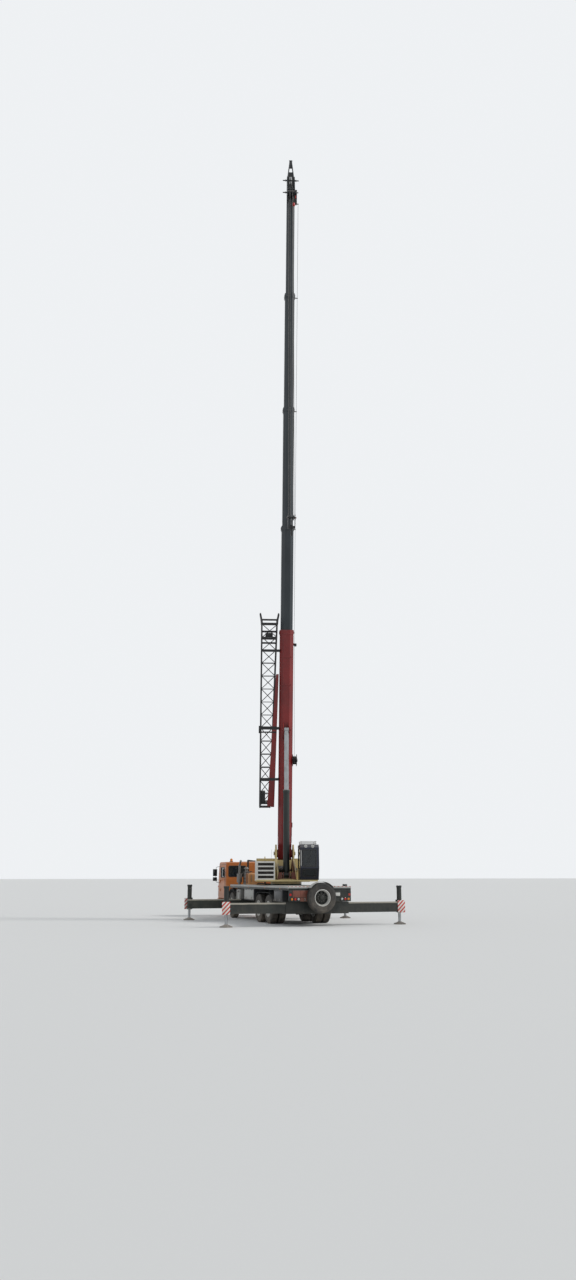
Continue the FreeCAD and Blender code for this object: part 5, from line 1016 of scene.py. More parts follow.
def makeCabFront():
    headLamp = cabFront["headLamp"]
    lamps = lampUnit("headLamp", headLamp, (1, 0, 0), cabFront["headLampRadius"], 0.040, "lensClear")
    lamps += [lathe("headLampRing", [(5.415, 0.088), (5.415, 0.104), (5.444, 0.108), (5.452, 0.102), (5.452, 0.090)],
                    "darkPlastic", Matrix.Translation((0, headLamp[1], headLamp[2])), 28)]
    whole = mirrored("head_lamps_visual", lamps, "root")
    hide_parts("head_lamps")
    pieces = [block("indicator", (5.412, 1.145, 0.885), (5.440, 1.215, 0.995), "lensAmber", bevel=0.008),
              block("fogLampHouse", (5.486, 0.80, 0.60), (5.499, 1.02, 0.72), "darkPlastic", bevel=0.005),
              *lampUnit("fogLamp", cabFront["fogLamp"], (1, 0, 0), cabFront["fogLampRadius"], 0.02, "lensClear",
                        "darkPlastic"),
              block("bumperStep", (5.30, 0.55, 0.808), (5.49, 1.20, 0.816), "steel", bevel=0.003),
              pipe("cornerRod", [(5.44, 1.22, 0.80), (5.44, 1.235, 0.95), (5.445, 1.235, 1.32)], 0.006, "steel"),
              drum("cornerRodTop", (5.445, 1.235, 1.31), (5.445, 1.235, 1.37), 0.016, "signalRed", bevel=0.004,
                   sides=12)]
    mirrored("cab_front_fittings", pieces, "root")
    bars = [0.9795 + cabFront["barPitch"] * i for i in range(cabFront["grilleBars"])]
    grille = [block("grilleBar", (5.420, -0.43, z), (5.430, 0.43, z + 0.014), "darkPlastic", bevel=0.003)
              for z in bars]
    wide, high = cabFront["grilleSize"]
    rims = [softLoop(rectangle(wide, high), 0.05), softLoop(rectangle(wide - 0.05, high - 0.045), 0.04)]
    grille.append(plate("grilleRim", rims, 0.014, "darkPlastic", framePlace(Vector(cabFront["grille"]), left, up),
                        0.003))
    grille.append(block("blankPlate", (5.498, -0.26, 0.61), (5.503, 0.26, 0.72), "whitePaint", bevel=0.002))
    grille += [drum("towPin", (5.496, y, 0.575), (5.512, y, 0.575), 0.03, "steel", bevel=0.004, sides=16)
               for y in (-cabFront["towPins"], cabFront["towPins"])]
    mount("cab_grille", grille, "root")


def makeWipers():
    slope, normal = Vector((-0.17, 0, 0.61)).normalized(), Vector((0.61, 0, 0.17)).normalized()
    wipers = []
    for y in cabFront["wipers"]:
        foot = Vector((cabFront["screenFoot"][0], y, cabFront["screenFoot"][1])) + normal * 0.010
        top = foot + slope * cabFront["wiperReach"] + Vector((0, cabFront["wiperLean"], 0))
        half = slope * cabFront["blade"] / 2
        wipers += [drum("wiperPivot", foot - normal * 0.02, foot + normal * 0.022, 0.014, "darkPlastic", sides=12),
                   pipe("wiperArm", [foot + normal * 0.014, (foot + top) / 2 + normal * 0.024, top + normal * 0.012],
                        0.0045, "darkPlastic", bend=0.1),
                   pipe("wiperBlade", [top - half, top + half], 0.006, "darkPlastic")]
    mount("cab_wipers", wipers, "root")


cabSides = {"mirrorHeads": ((1.80, 2.12), (1.58, 1.75)), "beacon": (4.30, 0.92, 2.438),
            "roofMarkers": (-1.0, -0.5, 0, 0.5, 1.0), "roofHatch": ((4.50, -0.30), (5.0, 0.30))}


def makeCabSides():
    arm = [(5.14, 1.238, 2.24), (5.22, 1.40, 2.22), (5.22, 1.42, 2.12), (5.22, 1.42, 1.62), (5.22, 1.40, 1.52),
           (5.16, 1.238, 1.50)]
    pieces = [pipe("mirrorArm", arm, 0.009, "darkPlastic", bend=0.05)]
    for low, high in cabSides["mirrorHeads"]:
        pieces += [block("mirrorShell", (5.205, 1.36, low), (5.255, 1.56, high), "darkPlastic", bevel=0.016, steps=3),
                   block("mirrorGlass", (5.201, 1.374, low + 0.014), (5.206, 1.546, high - 0.014), "tintedGlass",
                         bevel=0.002)]
    pieces += [pipe("frontGrab", [(5.44, 1.02, 1.62), (5.47, 1.02, 1.60), (5.47, 0.72, 1.60), (5.44, 0.72, 1.62)],
                    0.009, "steel", bend=0.02),
               pipe("doorGrab", [(4.12, 1.238, 1.30), (4.12, 1.262, 1.32), (4.12, 1.262, 1.98), (4.12, 1.238, 2.00)],
                    0.010, "steel", bend=0.02),
               block("stepTread", (4.30, 1.09, 0.498), (4.94, 1.232, 0.504), "deckPlate", bevel=0.002),
               block("roofSeam", (4.06, 1.225, 2.318), (5.20, 1.243, 2.330), "darkPlastic", bevel=0.003),
               block("sideMarker", (4.16, 1.236, 1.10), (4.20, 1.250, 1.20), "lensAmber", bevel=0.004)]
    mirrored("cab_side_fittings", pieces, "root")


def makeCabRoof():
    beaconPlace = upright(cabSides["beacon"])
    roof = [lathe("beacon", [(0, 0), (0, 0.075), (0.030, 0.075), (0.034, 0.062), (0.12, 0.058), (0.15, 0.046),
                             (0.165, 0)], "lensAmber", beaconPlace, 24),
            lathe("beaconFoot", [(-0.004, 0), (-0.004, 0.09), (0.022, 0.09), (0.028, 0.078), (0.028, 0)],
                  "darkPlastic", beaconPlace, 24)]
    roof += [block("roofMarker", (5.175, y - 0.05, 2.36), (5.225, y + 0.05, 2.405), "lensAmber", bevel=0.012)
             for y in cabSides["roofMarkers"]]
    low, high = cabSides["roofHatch"]
    roof += [block("roofHatch", (*low, 2.438), (*high, 2.462), "cab_orange", bevel=0.012, steps=3),
             block("hatchSeal", (low[0] - 0.015, low[1] - 0.015, 2.436), (high[0] + 0.015, high[1] + 0.015, 2.447),
                   "darkPlastic", bevel=0.004),
             pipe("aerial", [(4.10, -0.95, 2.40), (4.09, -0.95, 2.50), (4.02, -0.95, 3.02)], 0.004, "darkPlastic",
                  bend=0.03)]
    mount("cab_roof_fittings", roof, "root")


cabInside = {"seats": 0.7, "firmness": 0.7, "padBevel": 0.035, "steeringHub": (5.02, 0.7, 1.64),
             "steeringFoot": (5.31, 0.7, 1.43), "steeringRadius": 0.210, "dials": (0.60, 0.80),
             "pedals": (0.56, 0.68, 0.84)}
cabCushions = [  # cushion: lowest corner, highest corner, lean in degrees
    ("seatPad", (4.36, -0.235, 1.27), (4.80, 0.235, 1.41), -3),
    ("backPad", (4.24, -0.225, 1.40), (4.36, 0.225, 1.86), -10),
    ("headPad", (4.225, -0.13, 1.88), (4.315, 0.13, 2.04), -10)]


def leaningCushion(name, low, high, tilt, y):
    piece = block(name, low, high, "seat", bevel=cabInside["padBevel"], steps=4)
    middle = (Vector(low) + Vector(high)) / 2
    piece.data.transform(Matrix.Translation(middle + Vector((0, y, 0))) @ Matrix.Rotation(math.radians(tilt), 4, "Y")
                         @ Matrix.Translation(-middle))
    return piece


def makeCabSeats():
    for side, y in (("left", cabInside["seats"]), ("right", -cabInside["seats"])):
        foot = [block("seatFoot", (4.42, y - 0.20, 1.00), (4.66, y + 0.20, 1.06), "darkPlastic"),
                block("seatPost", (4.46, y - 0.14, 1.04), (4.64, y + 0.14, 1.27), "darkPlastic", bevel=0.02)]
        mount(f"cab_seat_foot_{side}", foot, "root")
        pads = [leaningCushion(*cushion, y) for cushion in cabCushions]
        whole = mount(f"cab_seat_{side}", pads, "root", 60)


def makeDashboard():
    board = [block("dashTop", (5.14, -1.18, 1.64), (5.375, 1.18, 1.705), "darkPlastic", bevel=0.02, steps=3),
             block("dashFace", (5.20, -1.18, 1.40), (5.375, 1.18, 1.66), "darkPlastic", bevel=0.015),
             block("cluster", (5.10, 0.48, 1.60), (5.20, 0.92, 1.72), "darkPlastic", bevel=0.02, steps=3)]
    board += [lathe("dial", [(0, 0), (0, 0.052), (0.008, 0.052), (0.010, 0.046), (0.004, 0.044), (0.004, 0)],
                    "whitePaint", rearwards((5.102, y, 1.66)), 24) for y in cabInside["dials"]]
    hub, foot = Vector(cabInside["steeringHub"]), Vector(cabInside["steeringFoot"])
    place = Matrix.Translation(hub) @ (hub - foot).to_track_quat("Z", "Y").to_matrix().to_4x4()
    radius = cabInside["steeringRadius"]
    ring = [(radius * math.cos(turn), radius * math.sin(turn), 0) for turn in evenTurns(40)]
    board += [pipe("wheelRing", ring, 0.014, "darkPlastic", place, closed=True, roundness=3),
              drum("wheelHub", (0, 0, -0.05), (0, 0, 0.012), 0.045, "darkPlastic", place, bevel=0.008),
              pipe("wheelColumn", [foot, hub - (hub - foot).normalized() * 0.03], 0.024, "darkPlastic")]
    for degrees in (90, 210, 330):
        towards = Vector((math.cos(math.radians(degrees)), math.sin(math.radians(degrees)), 0))
        spoke = [towards * 0.03 - Vector((0, 0, 0.02)), towards * (radius - 0.005)]
        board.append(pipe("wheelSpoke", spoke, 0.009, "darkPlastic", place))
    board += [pipe("gearLever", [(4.98, 0.28, 1.0), (4.96, 0.28, 1.30), (4.90, 0.30, 1.42)], 0.009, "steel",
                   bend=0.08),
              drum("gearKnob", (4.90, 0.30, 1.41), (4.895, 0.302, 1.47), 0.024, "darkPlastic", bevel=0.008),
              block("engineTunnel", (4.06, -0.30, 1.0), (4.90, 0.24, 1.16), "darkPlastic", bevel=0.04, steps=3)]
    board += [block("pedal", (5.17, y - 0.035, 1.08), (5.19, y + 0.035, 1.20), "darkPlastic", bevel=0.005)
              for y in cabInside["pedals"]]
    whole = mount("cab_interior_visual", board, "root")
    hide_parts("cab_interior")


makeCabFront()
makeWipers()
makeCabSides()
makeCabRoof()
makeCabSeats()
makeDashboard()
print("driver's cab made")

# Carrier: tail lamps, reflectors, mud flaps, striped jack plates, floats, lids, straps and the deck's fittings
beamOffset = 0.111
outriggers = [  # name, along the carrier, side
    ("front_left", 1.3 + beamOffset, 1), ("front_right", 1.3 - beamOffset, -1),
    ("rear_left", -4.7 - beamOffset, 1), ("rear_right", -4.7 + beamOffset, -1)]


# Six-sided bolt heads standing on the given points, along one direction
def boltRow(name, places, axis, radius=0.012, high=0.010, place=ground):
    axis = Vector(axis)
    first = Vector(places[0])
    head = drum(name, first - axis * 0.003, first + axis * high, radius, "steel", sides=6, endRadius=radius * 0.92)
    heads = copied(head, [Matrix.Translation(Vector(point) - first) for point in places])
    heads.data.transform(place)
    return heads


# Bolt heads on a circle that faces along x
def boltCircle(name, along, circle, count, radius, high, place):
    points = [(along, circle * math.cos(turn), circle * math.sin(turn)) for turn in evenTurns(count)]
    return boltRow(name, points, (1, 0, 0), radius, high, place)


tail = {"lamps": {0.86: "lensClear", 0.99: "lensRed", 1.12: "lensAmber"},  # lamps: place across, lens
        "lampX": -5.250, "lampZ": 0.98, "ribs": (0.50, 0.765, 1.03), "panelBolts": (0.46, 0.64, 0.89, 1.07),
        "boltHeights": (1.06, 1.27), "spareZ": 1.03}


def makeTailLamps():
    pieces = []
    for y, lens in tail["lamps"].items():
        place = rearwards((tail["lampX"], y, tail["lampZ"]))
        pieces += [lathe("tailLens", [(-0.002, 0.046), (0.006, 0.044), (0.016, 0.030), (0.020, 0)], lens, place, 24),
                   lathe("tailLensRim", [(-0.012, 0.047), (-0.012, 0.054), (0.004, 0.056), (0.008, 0.050),
                                         (0.006, 0.045)], "darkPlastic", place, 24)]
    pieces += [block("tailReflector", (-5.229, 1.13, 1.10), (-5.219, 1.21, 1.18), "lensRed", bevel=0.004),
               block("cornerBuffer", (-5.232, 1.10, 1.20), (-5.182, 1.232, 1.28), "darkPlastic", bevel=0.012, steps=3),
               block("deckEdge", (-5.184, 0.30, 1.425), (-5.176, 1.25, 1.437), "redWhiteBands", bevel=0.002)]
    mirrored("tail_lamps", pieces, "root")


def makeTailPanel():
    panel = [block("tailPanel", (-5.236, 0.44, 1.04), (-5.218, 1.09, 1.29), "brownPaintAndShade", bevel=0.008),
             block("tailPanelLow", (-5.232, 0.40, 0.90), (-5.218, 0.79, 1.03), "brownPaintAndShade", bevel=0.006),
             block("tailPanelRight", (-5.232, -0.80, 1.04), (-5.218, -0.44, 1.27), "chassis", bevel=0.008),
             block("blankPlateRear", (-5.236, -0.79, 1.09), (-5.231, -0.45, 1.21), "whitePaint", bevel=0.002),
             drum("plateLamp", (-5.236, -0.67, 1.235), (-5.236, -0.57, 1.235), 0.012, "darkPlastic", bevel=0.003)]
    panel += [block("tailRib", (-5.244, y - 0.012, 1.05), (-5.234, y + 0.012, 1.28), "brownPaintAndShade", bevel=0.003)
              for y in tail["ribs"]]
    corners = [(-5.237, y, z) for y in tail["panelBolts"] for z in tail["boltHeights"]]
    panel.append(boltRow("panelBolts", corners, (-1, 0, 0), 0.009, 0.006))
    mount("tail_panel", panel, "root")
    z = tail["spareZ"]
    hook = [(-5.22, 0.62, 0.93), (-5.29, 0.62, 0.93), (-5.31, 0.62, 0.97), (-5.29, 0.62, 1.01), (-5.22, 0.62, 1.01)]
    carrier = [drum("spareClampNut", (-5.372, 0, z), (-5.40, 0, z), 0.045, "steel", sides=6, bevel=0.004),
               drum("spareClampPlate", (-5.352, 0, z), (-5.374, 0, z), 0.085, "chassis", bevel=0.004),
               pipe("towHook", hook, 0.016, "steel", bend=0.03)]
    mount("spare_carrier", carrier, "root")


sideFittings = {"flaps": ((-3.30, 0.62, 0.42), (2.36, 0.93, 0.40)),  # flaps: along, inner edge, lower edge
                "reflectors": (-4.2, -2.2, 0.2, 2.6), "lipBolts": 17, "lipPitch": 0.5, "tankStraps": (1.76, 2.09),
                "latches": (-0.20, 0.64, -4.12, -3.57)}


def makeSideFittings():
    pieces = []
    for x, inner, low in sideFittings["flaps"]:
        pieces += [block("mudFlap", (x - 0.006, inner, low), (x + 0.006, 1.22, 0.90), "darkPlastic", bevel=0.003),
                   block("flapRail", (x - 0.016, inner, 0.885), (x + 0.016, 1.235, 0.925), "steel", bevel=0.004)]
    pieces += [block("sideReflector", (x - 0.04, 1.2505, 1.34), (x + 0.04, 1.256, 1.38), "lensAmber", bevel=0.002)
               for x in sideFittings["reflectors"]]
    bolts = [(-5.0 + sideFittings["lipPitch"] * i, 1.250, 1.40) for i in range(sideFittings["lipBolts"])]
    pieces.append(boltRow("lipBolts", bolts, (0, 1, 0), 0.008, 0.005))
    pieces += [block("tankStrap", (x - 0.022, 0.46, 0.735), (x + 0.022, 1.217, 1.302), "steel", bevel=0.06, steps=4)
               for x in sideFittings["tankStraps"]]
    pieces += [drum("fuelCap", (1.92, 1.205, 1.16), (1.92, 1.234, 1.18), 0.052, "steel", bevel=0.006),
               block("toolLid", (-0.47, 1.205, 0.87), (0.91, 1.222, 1.26), "deck_grey", bevel=0.008, steps=3),
               block("rearLid", (-4.31, 1.205, 0.91), (-3.38, 1.222, 1.26), "boxDark", bevel=0.008, steps=3),
               # Painted shade: dark strips over the lower half of the deck lip, along the side and at the tail, below
               # its lit top edge
               block("lipShadeStrip", (-5.17, 1.2490, 1.304), (3.17, 1.2545, 1.374), "chassis", bevel=0.002),
               block("tailLipShadeStrip", (-5.1855, 0.01, 1.304), (-5.1790, 1.240, 1.374), "chassis", bevel=0.002)]
    for x in sideFittings["latches"]:
        pieces += [block("lidLatch", (x - 0.025, 1.219, 0.885), (x + 0.025, 1.238, 0.965), "steel", bevel=0.005),
                   block("lidHinge", (x - 0.04, 1.219, 1.235), (x + 0.04, 1.232, 1.262), "darkPlastic", bevel=0.004)]
    mirrored("side_fittings", pieces, "root")


oilTank = {"straps": (2.45, 2.68), "cap": (2.46, 0.50, 1.982), "hose": 0.022}


def makeOilTank():
    oil = [block("oilStrap", (x - 0.020, -0.105, 1.445), (x + 0.020, 0.655, 1.944), "brownPaintAndShade", bevel=0.072, steps=5)
           for x in oilTank["straps"]]
    oil += [lathe("oilCap", [(0, 0), (0, 0.066), (0.026, 0.070), (0.034, 0.060), (0.036, 0)], "darkPlastic",
                  upright(oilTank["cap"]), 24),
            pipe("sightGlass", [(2.338, 0.50, 1.56), (2.322, 0.50, 1.56), (2.322, 0.50, 1.84), (2.338, 0.50, 1.84)],
                 0.010, "steel", bend=0.01),
            pipe("returnHose", [(2.40, 0.10, 1.46), (2.22, 0.10, 1.50), (1.40, 0.06, 1.47), (0.2, 0.02, 1.47)],
                 oilTank["hose"], "darkPlastic", bend=0.12),
            pipe("supplyHose", [(2.40, 0.22, 1.46), (2.20, 0.22, 1.50), (1.38, 0.16, 1.47), (0.2, 0.10, 1.47)],
                 oilTank["hose"], "darkPlastic", bend=0.12)]
    mount("oil_tank_fittings", oil, "root")


stack = {  # bands: name, half width, inner radius, outer radius, finish, place in plan, heights
    "silencerBand": (0.014, 0.119, 0.126, "steel", (3.02, 0.87), (1.60, 1.78)),
    "filterBand": (0.008, 0.139, 0.146, "darkPlastic", (2.98, 0.56), (1.55, 1.70, 1.85, 1.96))}


def makeStack():
    pieces = []
    for name, (half, inner, outer, finish, inPlan, heights) in stack.items():
        profile = [(-half, inner), (-half, outer), (half, outer), (half, inner)]
        pieces += [lathe(name, profile, finish, upright((*inPlan, z)), 28) for z in heights]
    intake = [(2.98, 0.56, 1.62), (3.12, 0.50, 1.62), (3.16, 0.40, 1.56), (3.16, 0.36, 1.44)]
    pieces += [pipe("intakePipe", intake, 0.045, "darkPlastic", bend=0.09, roundness=3),
               block("stackStay", (2.985, 0.68, 1.90), (3.015, 0.78, 1.935), "steel", bevel=0.004)]
    mount("stack_bands", pieces, "root")


jackSizes = {"y": 3.5, "plateOut": 0.112, "plateThick": 0.006, "plateLow": 0.445, "plateHigh": 0.900, "hose": 0.013,
             "gland": 0.472, "saddleBolts": (0.52, 0.64, 0.76, 0.88), "capCircle": 0.080, "floatRibs": 8,
             "rib": [(0.064, 0.034), (0.215, 0.034), (0.205, 0.046), (0.120, 0.080), (0.064, 0.100)]}


def makeBeamKit(name, x, face):
    y, out = jackSizes["y"], jackSizes["plateOut"]
    near, far = sorted((x + face * out, x + face * (out + jackSizes["plateThick"])))
    port, back = x - face * 0.125, x - face * 0.150
    hose = [(x - face * 0.115, y, 1.30), (back, y, 1.30), (back, y, 1.22), (x - face * 0.135, 3.47, 0.98),
            (x - face * 0.060, 3.435, 0.90), (x - face * 0.050, 3.43, 0.84)]
    pieces = [block("stripedPlate", (near, 3.385, jackSizes["plateLow"]), (far, 3.690, jackSizes["plateHigh"]),
                    "redWhiteBands", bevel=0.002),
              block("plateStay", (x - out, 3.44, 0.60), (x + out, 3.56, 0.72), "chassis", bevel=0.004),
              drum("jackPort", (x - face * 0.06, y, 1.30), (port, y, 1.30), 0.022, "steel", bevel=0.004, sides=16),
              pipe("jackHose", hose, jackSizes["hose"], "darkPlastic", bend=0.08),
              lathe("glandRing", [(-0.010, 0.100), (-0.010, 0.108), (0.010, 0.108), (0.010, 0.100), (-0.010, 0.100)],
                    "steel", upright((x, y, jackSizes["gland"])), 32)]
    saddle = [(x + dx, 3.386, z) for dx in (-0.080, 0.080) for z in jackSizes["saddleBolts"]]
    pieces.append(boltRow("saddleBolts", saddle, (0, -1, 0), 0.011, 0.008))
    circle = jackSizes["capCircle"]
    cap = [(x + circle * math.cos(turn), y + circle * math.sin(turn), 1.45) for turn in evenTurns(6)]
    pieces.append(boltRow("capBolts", cap, (0, 0, 1), 0.010, 0.010))
    return joined(f"beam_fittings_{name}", pieces)


def makeFloatKit(name, x):
    y, count = jackSizes["y"], jackSizes["floatRibs"]
    standing = Matrix.Rotation(math.pi / 2, 4, "X")
    places = [Matrix.Translation((x, y, 0)) @ Matrix.Rotation(turn, 4, "Z") @ standing for turn in evenTurns(count)]
    ribs = [plate("floatRib", [jackSizes["rib"]], 0.010, "steel", place, 0.001) for place in places]
    rim = lathe("floatRim", [(0.002, 0.224), (0.002, 0.2345), (0.040, 0.2345), (0.043, 0.230), (0.040, 0.224)],
                "steel", upright((x, y, 0)), 40)
    return joined(f"float_fittings_{name}", [rim, *ribs])


def makeOutriggers():
    for name, x, side in outriggers:
        beamKit = makeBeamKit(name, x, -1 if x < -4 else 1)
        floatKit = makeFloatKit(name, x)
        if side < 0:
            for kit in (beamKit, floatKit):
                kit.data.transform(Matrix.Scale(-1, 4, (0, 1, 0)))
                kit.data.flip_normals()
        mount(f"beam_fittings_{name}", beamKit, bodyOf[f"outrigger_beam_{name}"])
        mount(f"float_fittings_{name}", floatKit, bodyOf[f"outrigger_jack_{name}"])


makeTailLamps()
makeTailPanel()
makeSideFittings()
makeOilTank()
makeStack()
makeOutriggers()
print("carrier fittings made")


# Superstructure: pin keepers, winch gear, counterweight seams, cooler slats and wires.
# This local place has its x axis pointing outwards from the superstructure's side.
def alongSide(axisX, y, axisZ, place):
    turn = math.pi / 2 if y > 0 else -math.pi / 2
    return place @ Matrix.Translation((axisX, y, axisZ)) @ Matrix.Rotation(turn, 4, "Z")


def pinKeeper(name, x, y, z, radius, place):
    side = alongSide(x, y, z, place)
    cap = lathe(name, [(-0.004, radius * 0.6), (-0.004, radius * 1.25), (0.010, radius * 1.3), (0.016, radius * 1.2),
                       (0.016, 0)], "steel", side, 28)
    return [cap, boltCircle(name + "Bolts", 0.016, radius * 0.85, 6, radius * 0.13, 0.010, side)]


table = {"footPin": (-1.30, 2.75), "ramPin": (0.151, 1.864), "winchGear": (-2.05, 0.400, 2.06), "gearCircle": 0.162,
         "edgeBolts": (-2.45, -1.9, -1.3, -0.7), "edgeBoltsOut": 1.18, "swivel": (-0.47, 0, 1.72), "ramHoses": 0.22,
         "hose": 0.016}


def makeTableFittings():
    pieces = []
    for y in (-0.447, 0.447):
        pieces += pinKeeper("footPinCap", table["footPin"][0], y, table["footPin"][1], 0.065, upPlace)
    for y in (-0.157, 0.157):
        pieces += pinKeeper("ramPinCap", table["ramPin"][0], y, table["ramPin"][1], 0.045, upPlace)
    motor = alongSide(*table["winchGear"], upPlace)
    pieces.append(lathe("winchGear", [(-0.004, 0.0), (-0.004, 0.175), (0.030, 0.175), (0.040, 0.150), (0.110, 0.145),
                                      (0.120, 0.095), (0.190, 0.090), (0.200, 0.070), (0.200, 0)], "chassis", motor,
                        32))
    pieces.append(boltCircle("gearBolts", 0.030, table["gearCircle"], 12, 0.009, 0.008, motor))
    edges = [(x, y, 1.661) for x in table["edgeBolts"] for y in (-table["edgeBoltsOut"], table["edgeBoltsOut"])]
    pieces.append(boltRow("tableBolts", edges, (0, 0, 1), 0.014, 0.012, upPlace))
    pieces.append(lathe("rotaryJoint", [(-0.06, 0), (-0.06, 0.16), (0.02, 0.16), (0.03, 0.13), (0.12, 0.13),
                                        (0.13, 0.10), (0.13, 0)], "steel", upright(table["swivel"], upPlace), 28))
    mount("table_fittings", pieces, bodyOf["turntable"])
    hoses = [pipe("ramHose", [(-0.30, y, 1.68), (-0.10, y, 1.74), (0.02, y * 0.7, 1.80), (0.10, y * 0.5, 2.05)],
                  table["hose"], "darkPlastic", upPlace, bend=0.12) for y in (-table["ramHoses"], table["ramHoses"])]
    mount("table_hoses", hoses, bodyOf["turntable"])


weight = {"seams": (1.88, 2.20), "boltsAcross": (-0.66, 0.66), "boltHeights": (1.70, 2.04, 2.38),
          "outer": [(-2.425, -1.186), (-2.425, 1.186), (-2.602, 1.186), (-2.956, 0.803), (-2.956, -0.803),
                    (-2.602, -1.186)],
          "inner": [(-2.44, -1.16), (-2.605, -1.16), (-2.935, -0.79), (-2.935, 0.79), (-2.605, 1.16), (-2.44, 1.16)]}


def makeCounterweightSeams():
    seams = [plate("weightSeam", [weight["outer"], weight["inner"]], 0.012, "darkPlastic",
                   upPlace @ Matrix.Translation((0, 0, z)), 0.002) for z in weight["seams"]]
    bolts = [(-2.952, y, z) for y in weight["boltsAcross"] for z in weight["boltHeights"]]
    seams.append(boltRow("weightBolts", bolts, (-1, 0, 0), 0.024, 0.018, upPlace))
    seams += [block("weightReflector", (-2.958, y - 0.05, 2.44), (-2.948, y + 0.05, 2.49), "lensRed", upPlace, 0.003)
              for y in (-0.62, 0.62)]
    mount("counterweight_seams", seams, bodyOf["counterweight"])


cooler = {"openings": 4, "openingPitch": 0.1675, "firstOpening": 1.72, "slats": 3, "slatPitch": 0.032, "slatLean": 35,
          "wires": 15, "wirePitch": 0.042, "wire": 0.0025, "filler": (-0.55, -0.85, 2.388),
          "hinges": ((-0.64, 1.80, 1.90), (0.02, 1.98, 2.06), (0.24, 1.98, 2.06), (0.76, 1.80, 1.90)),
          "boltsAlong": (-0.80, 0.02, 0.85), "boltsAcross": (-1.16, -0.58)}


def makeCoolerFittings():
    pieces = []
    for opening in range(cooler["openings"]):
        low = cooler["firstOpening"] + cooler["openingPitch"] * opening
        for slat in range(cooler["slats"]):
            middle = Matrix.Translation((0.925, -0.87, low + 0.022 + cooler["slatPitch"] * slat))
            leaning = upPlace @ middle @ Matrix.Rotation(math.radians(cooler["slatLean"]), 4, "Y")
            pieces.append(block("coolerSlat", (-0.022, -0.316, -0.002), (0.022, 0.316, 0.002), "darkPlastic", leaning,
                                0.001, 1))
    for i in range(cooler["wires"]):
        y = -1.18 + cooler["wirePitch"] * i
        pieces.append(pipe("coolerWire", [(0.80, y, 1.73), (0.80, y, 2.32)], cooler["wire"], "darkPlastic", upPlace,
                           roundness=0))
    pieces += [block("coolerCore", (0.745, -1.185, 1.725), (0.765, -0.555, 2.325), "darkPlastic", upPlace, 0.004),
               block("whitePost", (0.905, -1.310, 1.662), (0.975, -1.245, 2.430), "whitePaint", upPlace, 0.010, 3),
               block("postFoot", (0.890, -1.320, 1.640), (0.990, -1.238, 1.672), "whitePaint", upPlace, 0.006),
               block("coolerDoor", (-0.72, -1.250, 1.74), (0.10, -1.238, 2.30), "whitePaint", upPlace, 0.008),
               block("coolerDoorTwo", (0.16, -1.250, 1.74), (0.84, -1.238, 2.30), "whitePaint", upPlace, 0.008)]
    pieces += [block("coolerHinge", (x - 0.02, -1.262, low), (x + 0.02, -1.246, high), "darkPlastic", upPlace, 0.004)
               for x, low, high in cooler["hinges"]]
    pieces.append(lathe("coolerFiller", [(0, 0), (0, 0.05), (0.03, 0.052), (0.036, 0.04), (0.036, 0)], "darkPlastic",
                        upright(cooler["filler"], upPlace), 24))
    bolts = [(x, y, 2.390) for x in cooler["boltsAlong"] for y in cooler["boltsAcross"]]
    pieces.append(boltRow("coolerBolts", bolts, (0, 0, 1), 0.010, 0.008, upPlace))
    mount("cooler_fittings", pieces, bodyOf["cooler_housing"])


operatorCab = {"railCorners": [(-0.36, 0.56), (0.88, 0.56), (0.88, 1.20), (-0.36, 1.20)],
               "railHeights": (3.115, 3.190), "rail": 0.013, "post": 0.011,
               "posts": [(-0.34, 0.58), (0.26, 0.56), (0.86, 0.58), (0.86, 1.18), (0.26, 1.20), (-0.34, 1.18)],
               "roofLamps": (0.74, 1.02), "roofLampRadius": 0.062, "wiperPivot": (1.225, 0.70, 2.165)}


def makeOperatorCabOutside():
    pieces = [pipe("roofRail", [(x, y, z) for x, y in operatorCab["railCorners"]], operatorCab["rail"], "whitePaint",
                   upPlace, 0.06, True) for z in operatorCab["railHeights"]]
    pieces += [pipe("railPost", [(x, y, 3.05), (x, y, 3.19)], operatorCab["post"], "whitePaint", upPlace)
               for x, y in operatorCab["posts"]]
    facing = upPlace.to_3x3() @ Vector((1, 0, -0.12))
    for y in operatorCab["roofLamps"]:
        pieces += lampUnit("roofLamp", upPlace @ Vector((1.215, y, 2.985)), facing, operatorCab["roofLampRadius"],
                           0.080, "lensClear", "whitePaint")
        pieces.append(pipe("lampStay", [(1.10, y, 2.985), (1.15, y, 2.985)], 0.012, "whitePaint", upPlace))
    pieces += [block("roofSeal", (-0.428, 0.512, 2.985), (0.96, 0.524, 3.000), "darkPlastic", upPlace, 0.003),
               pipe("cabGrab", [(1.215, 0.545, 2.20), (1.245, 0.545, 2.24), (1.215, 0.545, 2.78),
                                (1.185, 0.545, 2.82)], 0.011, "whitePaint", upPlace, 0.03),
               pipe("stepRail", [(-0.46, 1.20, 1.68), (-0.50, 1.20, 1.72), (-0.50, 1.20, 2.60), (-0.43, 1.20, 2.64)],
                    0.013, "whitePaint", upPlace, 0.04),
               block("heaterBox", (-0.415, 0.60, 1.70), (-0.475, 1.00, 2.00), "cab_navy", upPlace, 0.012)]
    pivot = Vector(operatorCab["wiperPivot"])
    pieces += [drum("upWiperPivot", pivot - Vector((0.03, 0, 0)), pivot + Vector((0.018, 0, 0)), 0.016, "darkPlastic",
                    upPlace, 12),
               pipe("upWiperArm", [pivot + Vector((0.012, 0, 0)), (1.215, 0.82, 2.40), (1.199, 0.92, 2.60)], 0.005,
                    "darkPlastic", upPlace, 0.05),
               pipe("upWiperBlade", [(1.218, 0.90, 2.36), (1.187, 0.93, 2.80)], 0.007, "darkPlastic", upPlace)]
    mount("operator_cab_fittings", pieces, bodyOf["operator_cab"])


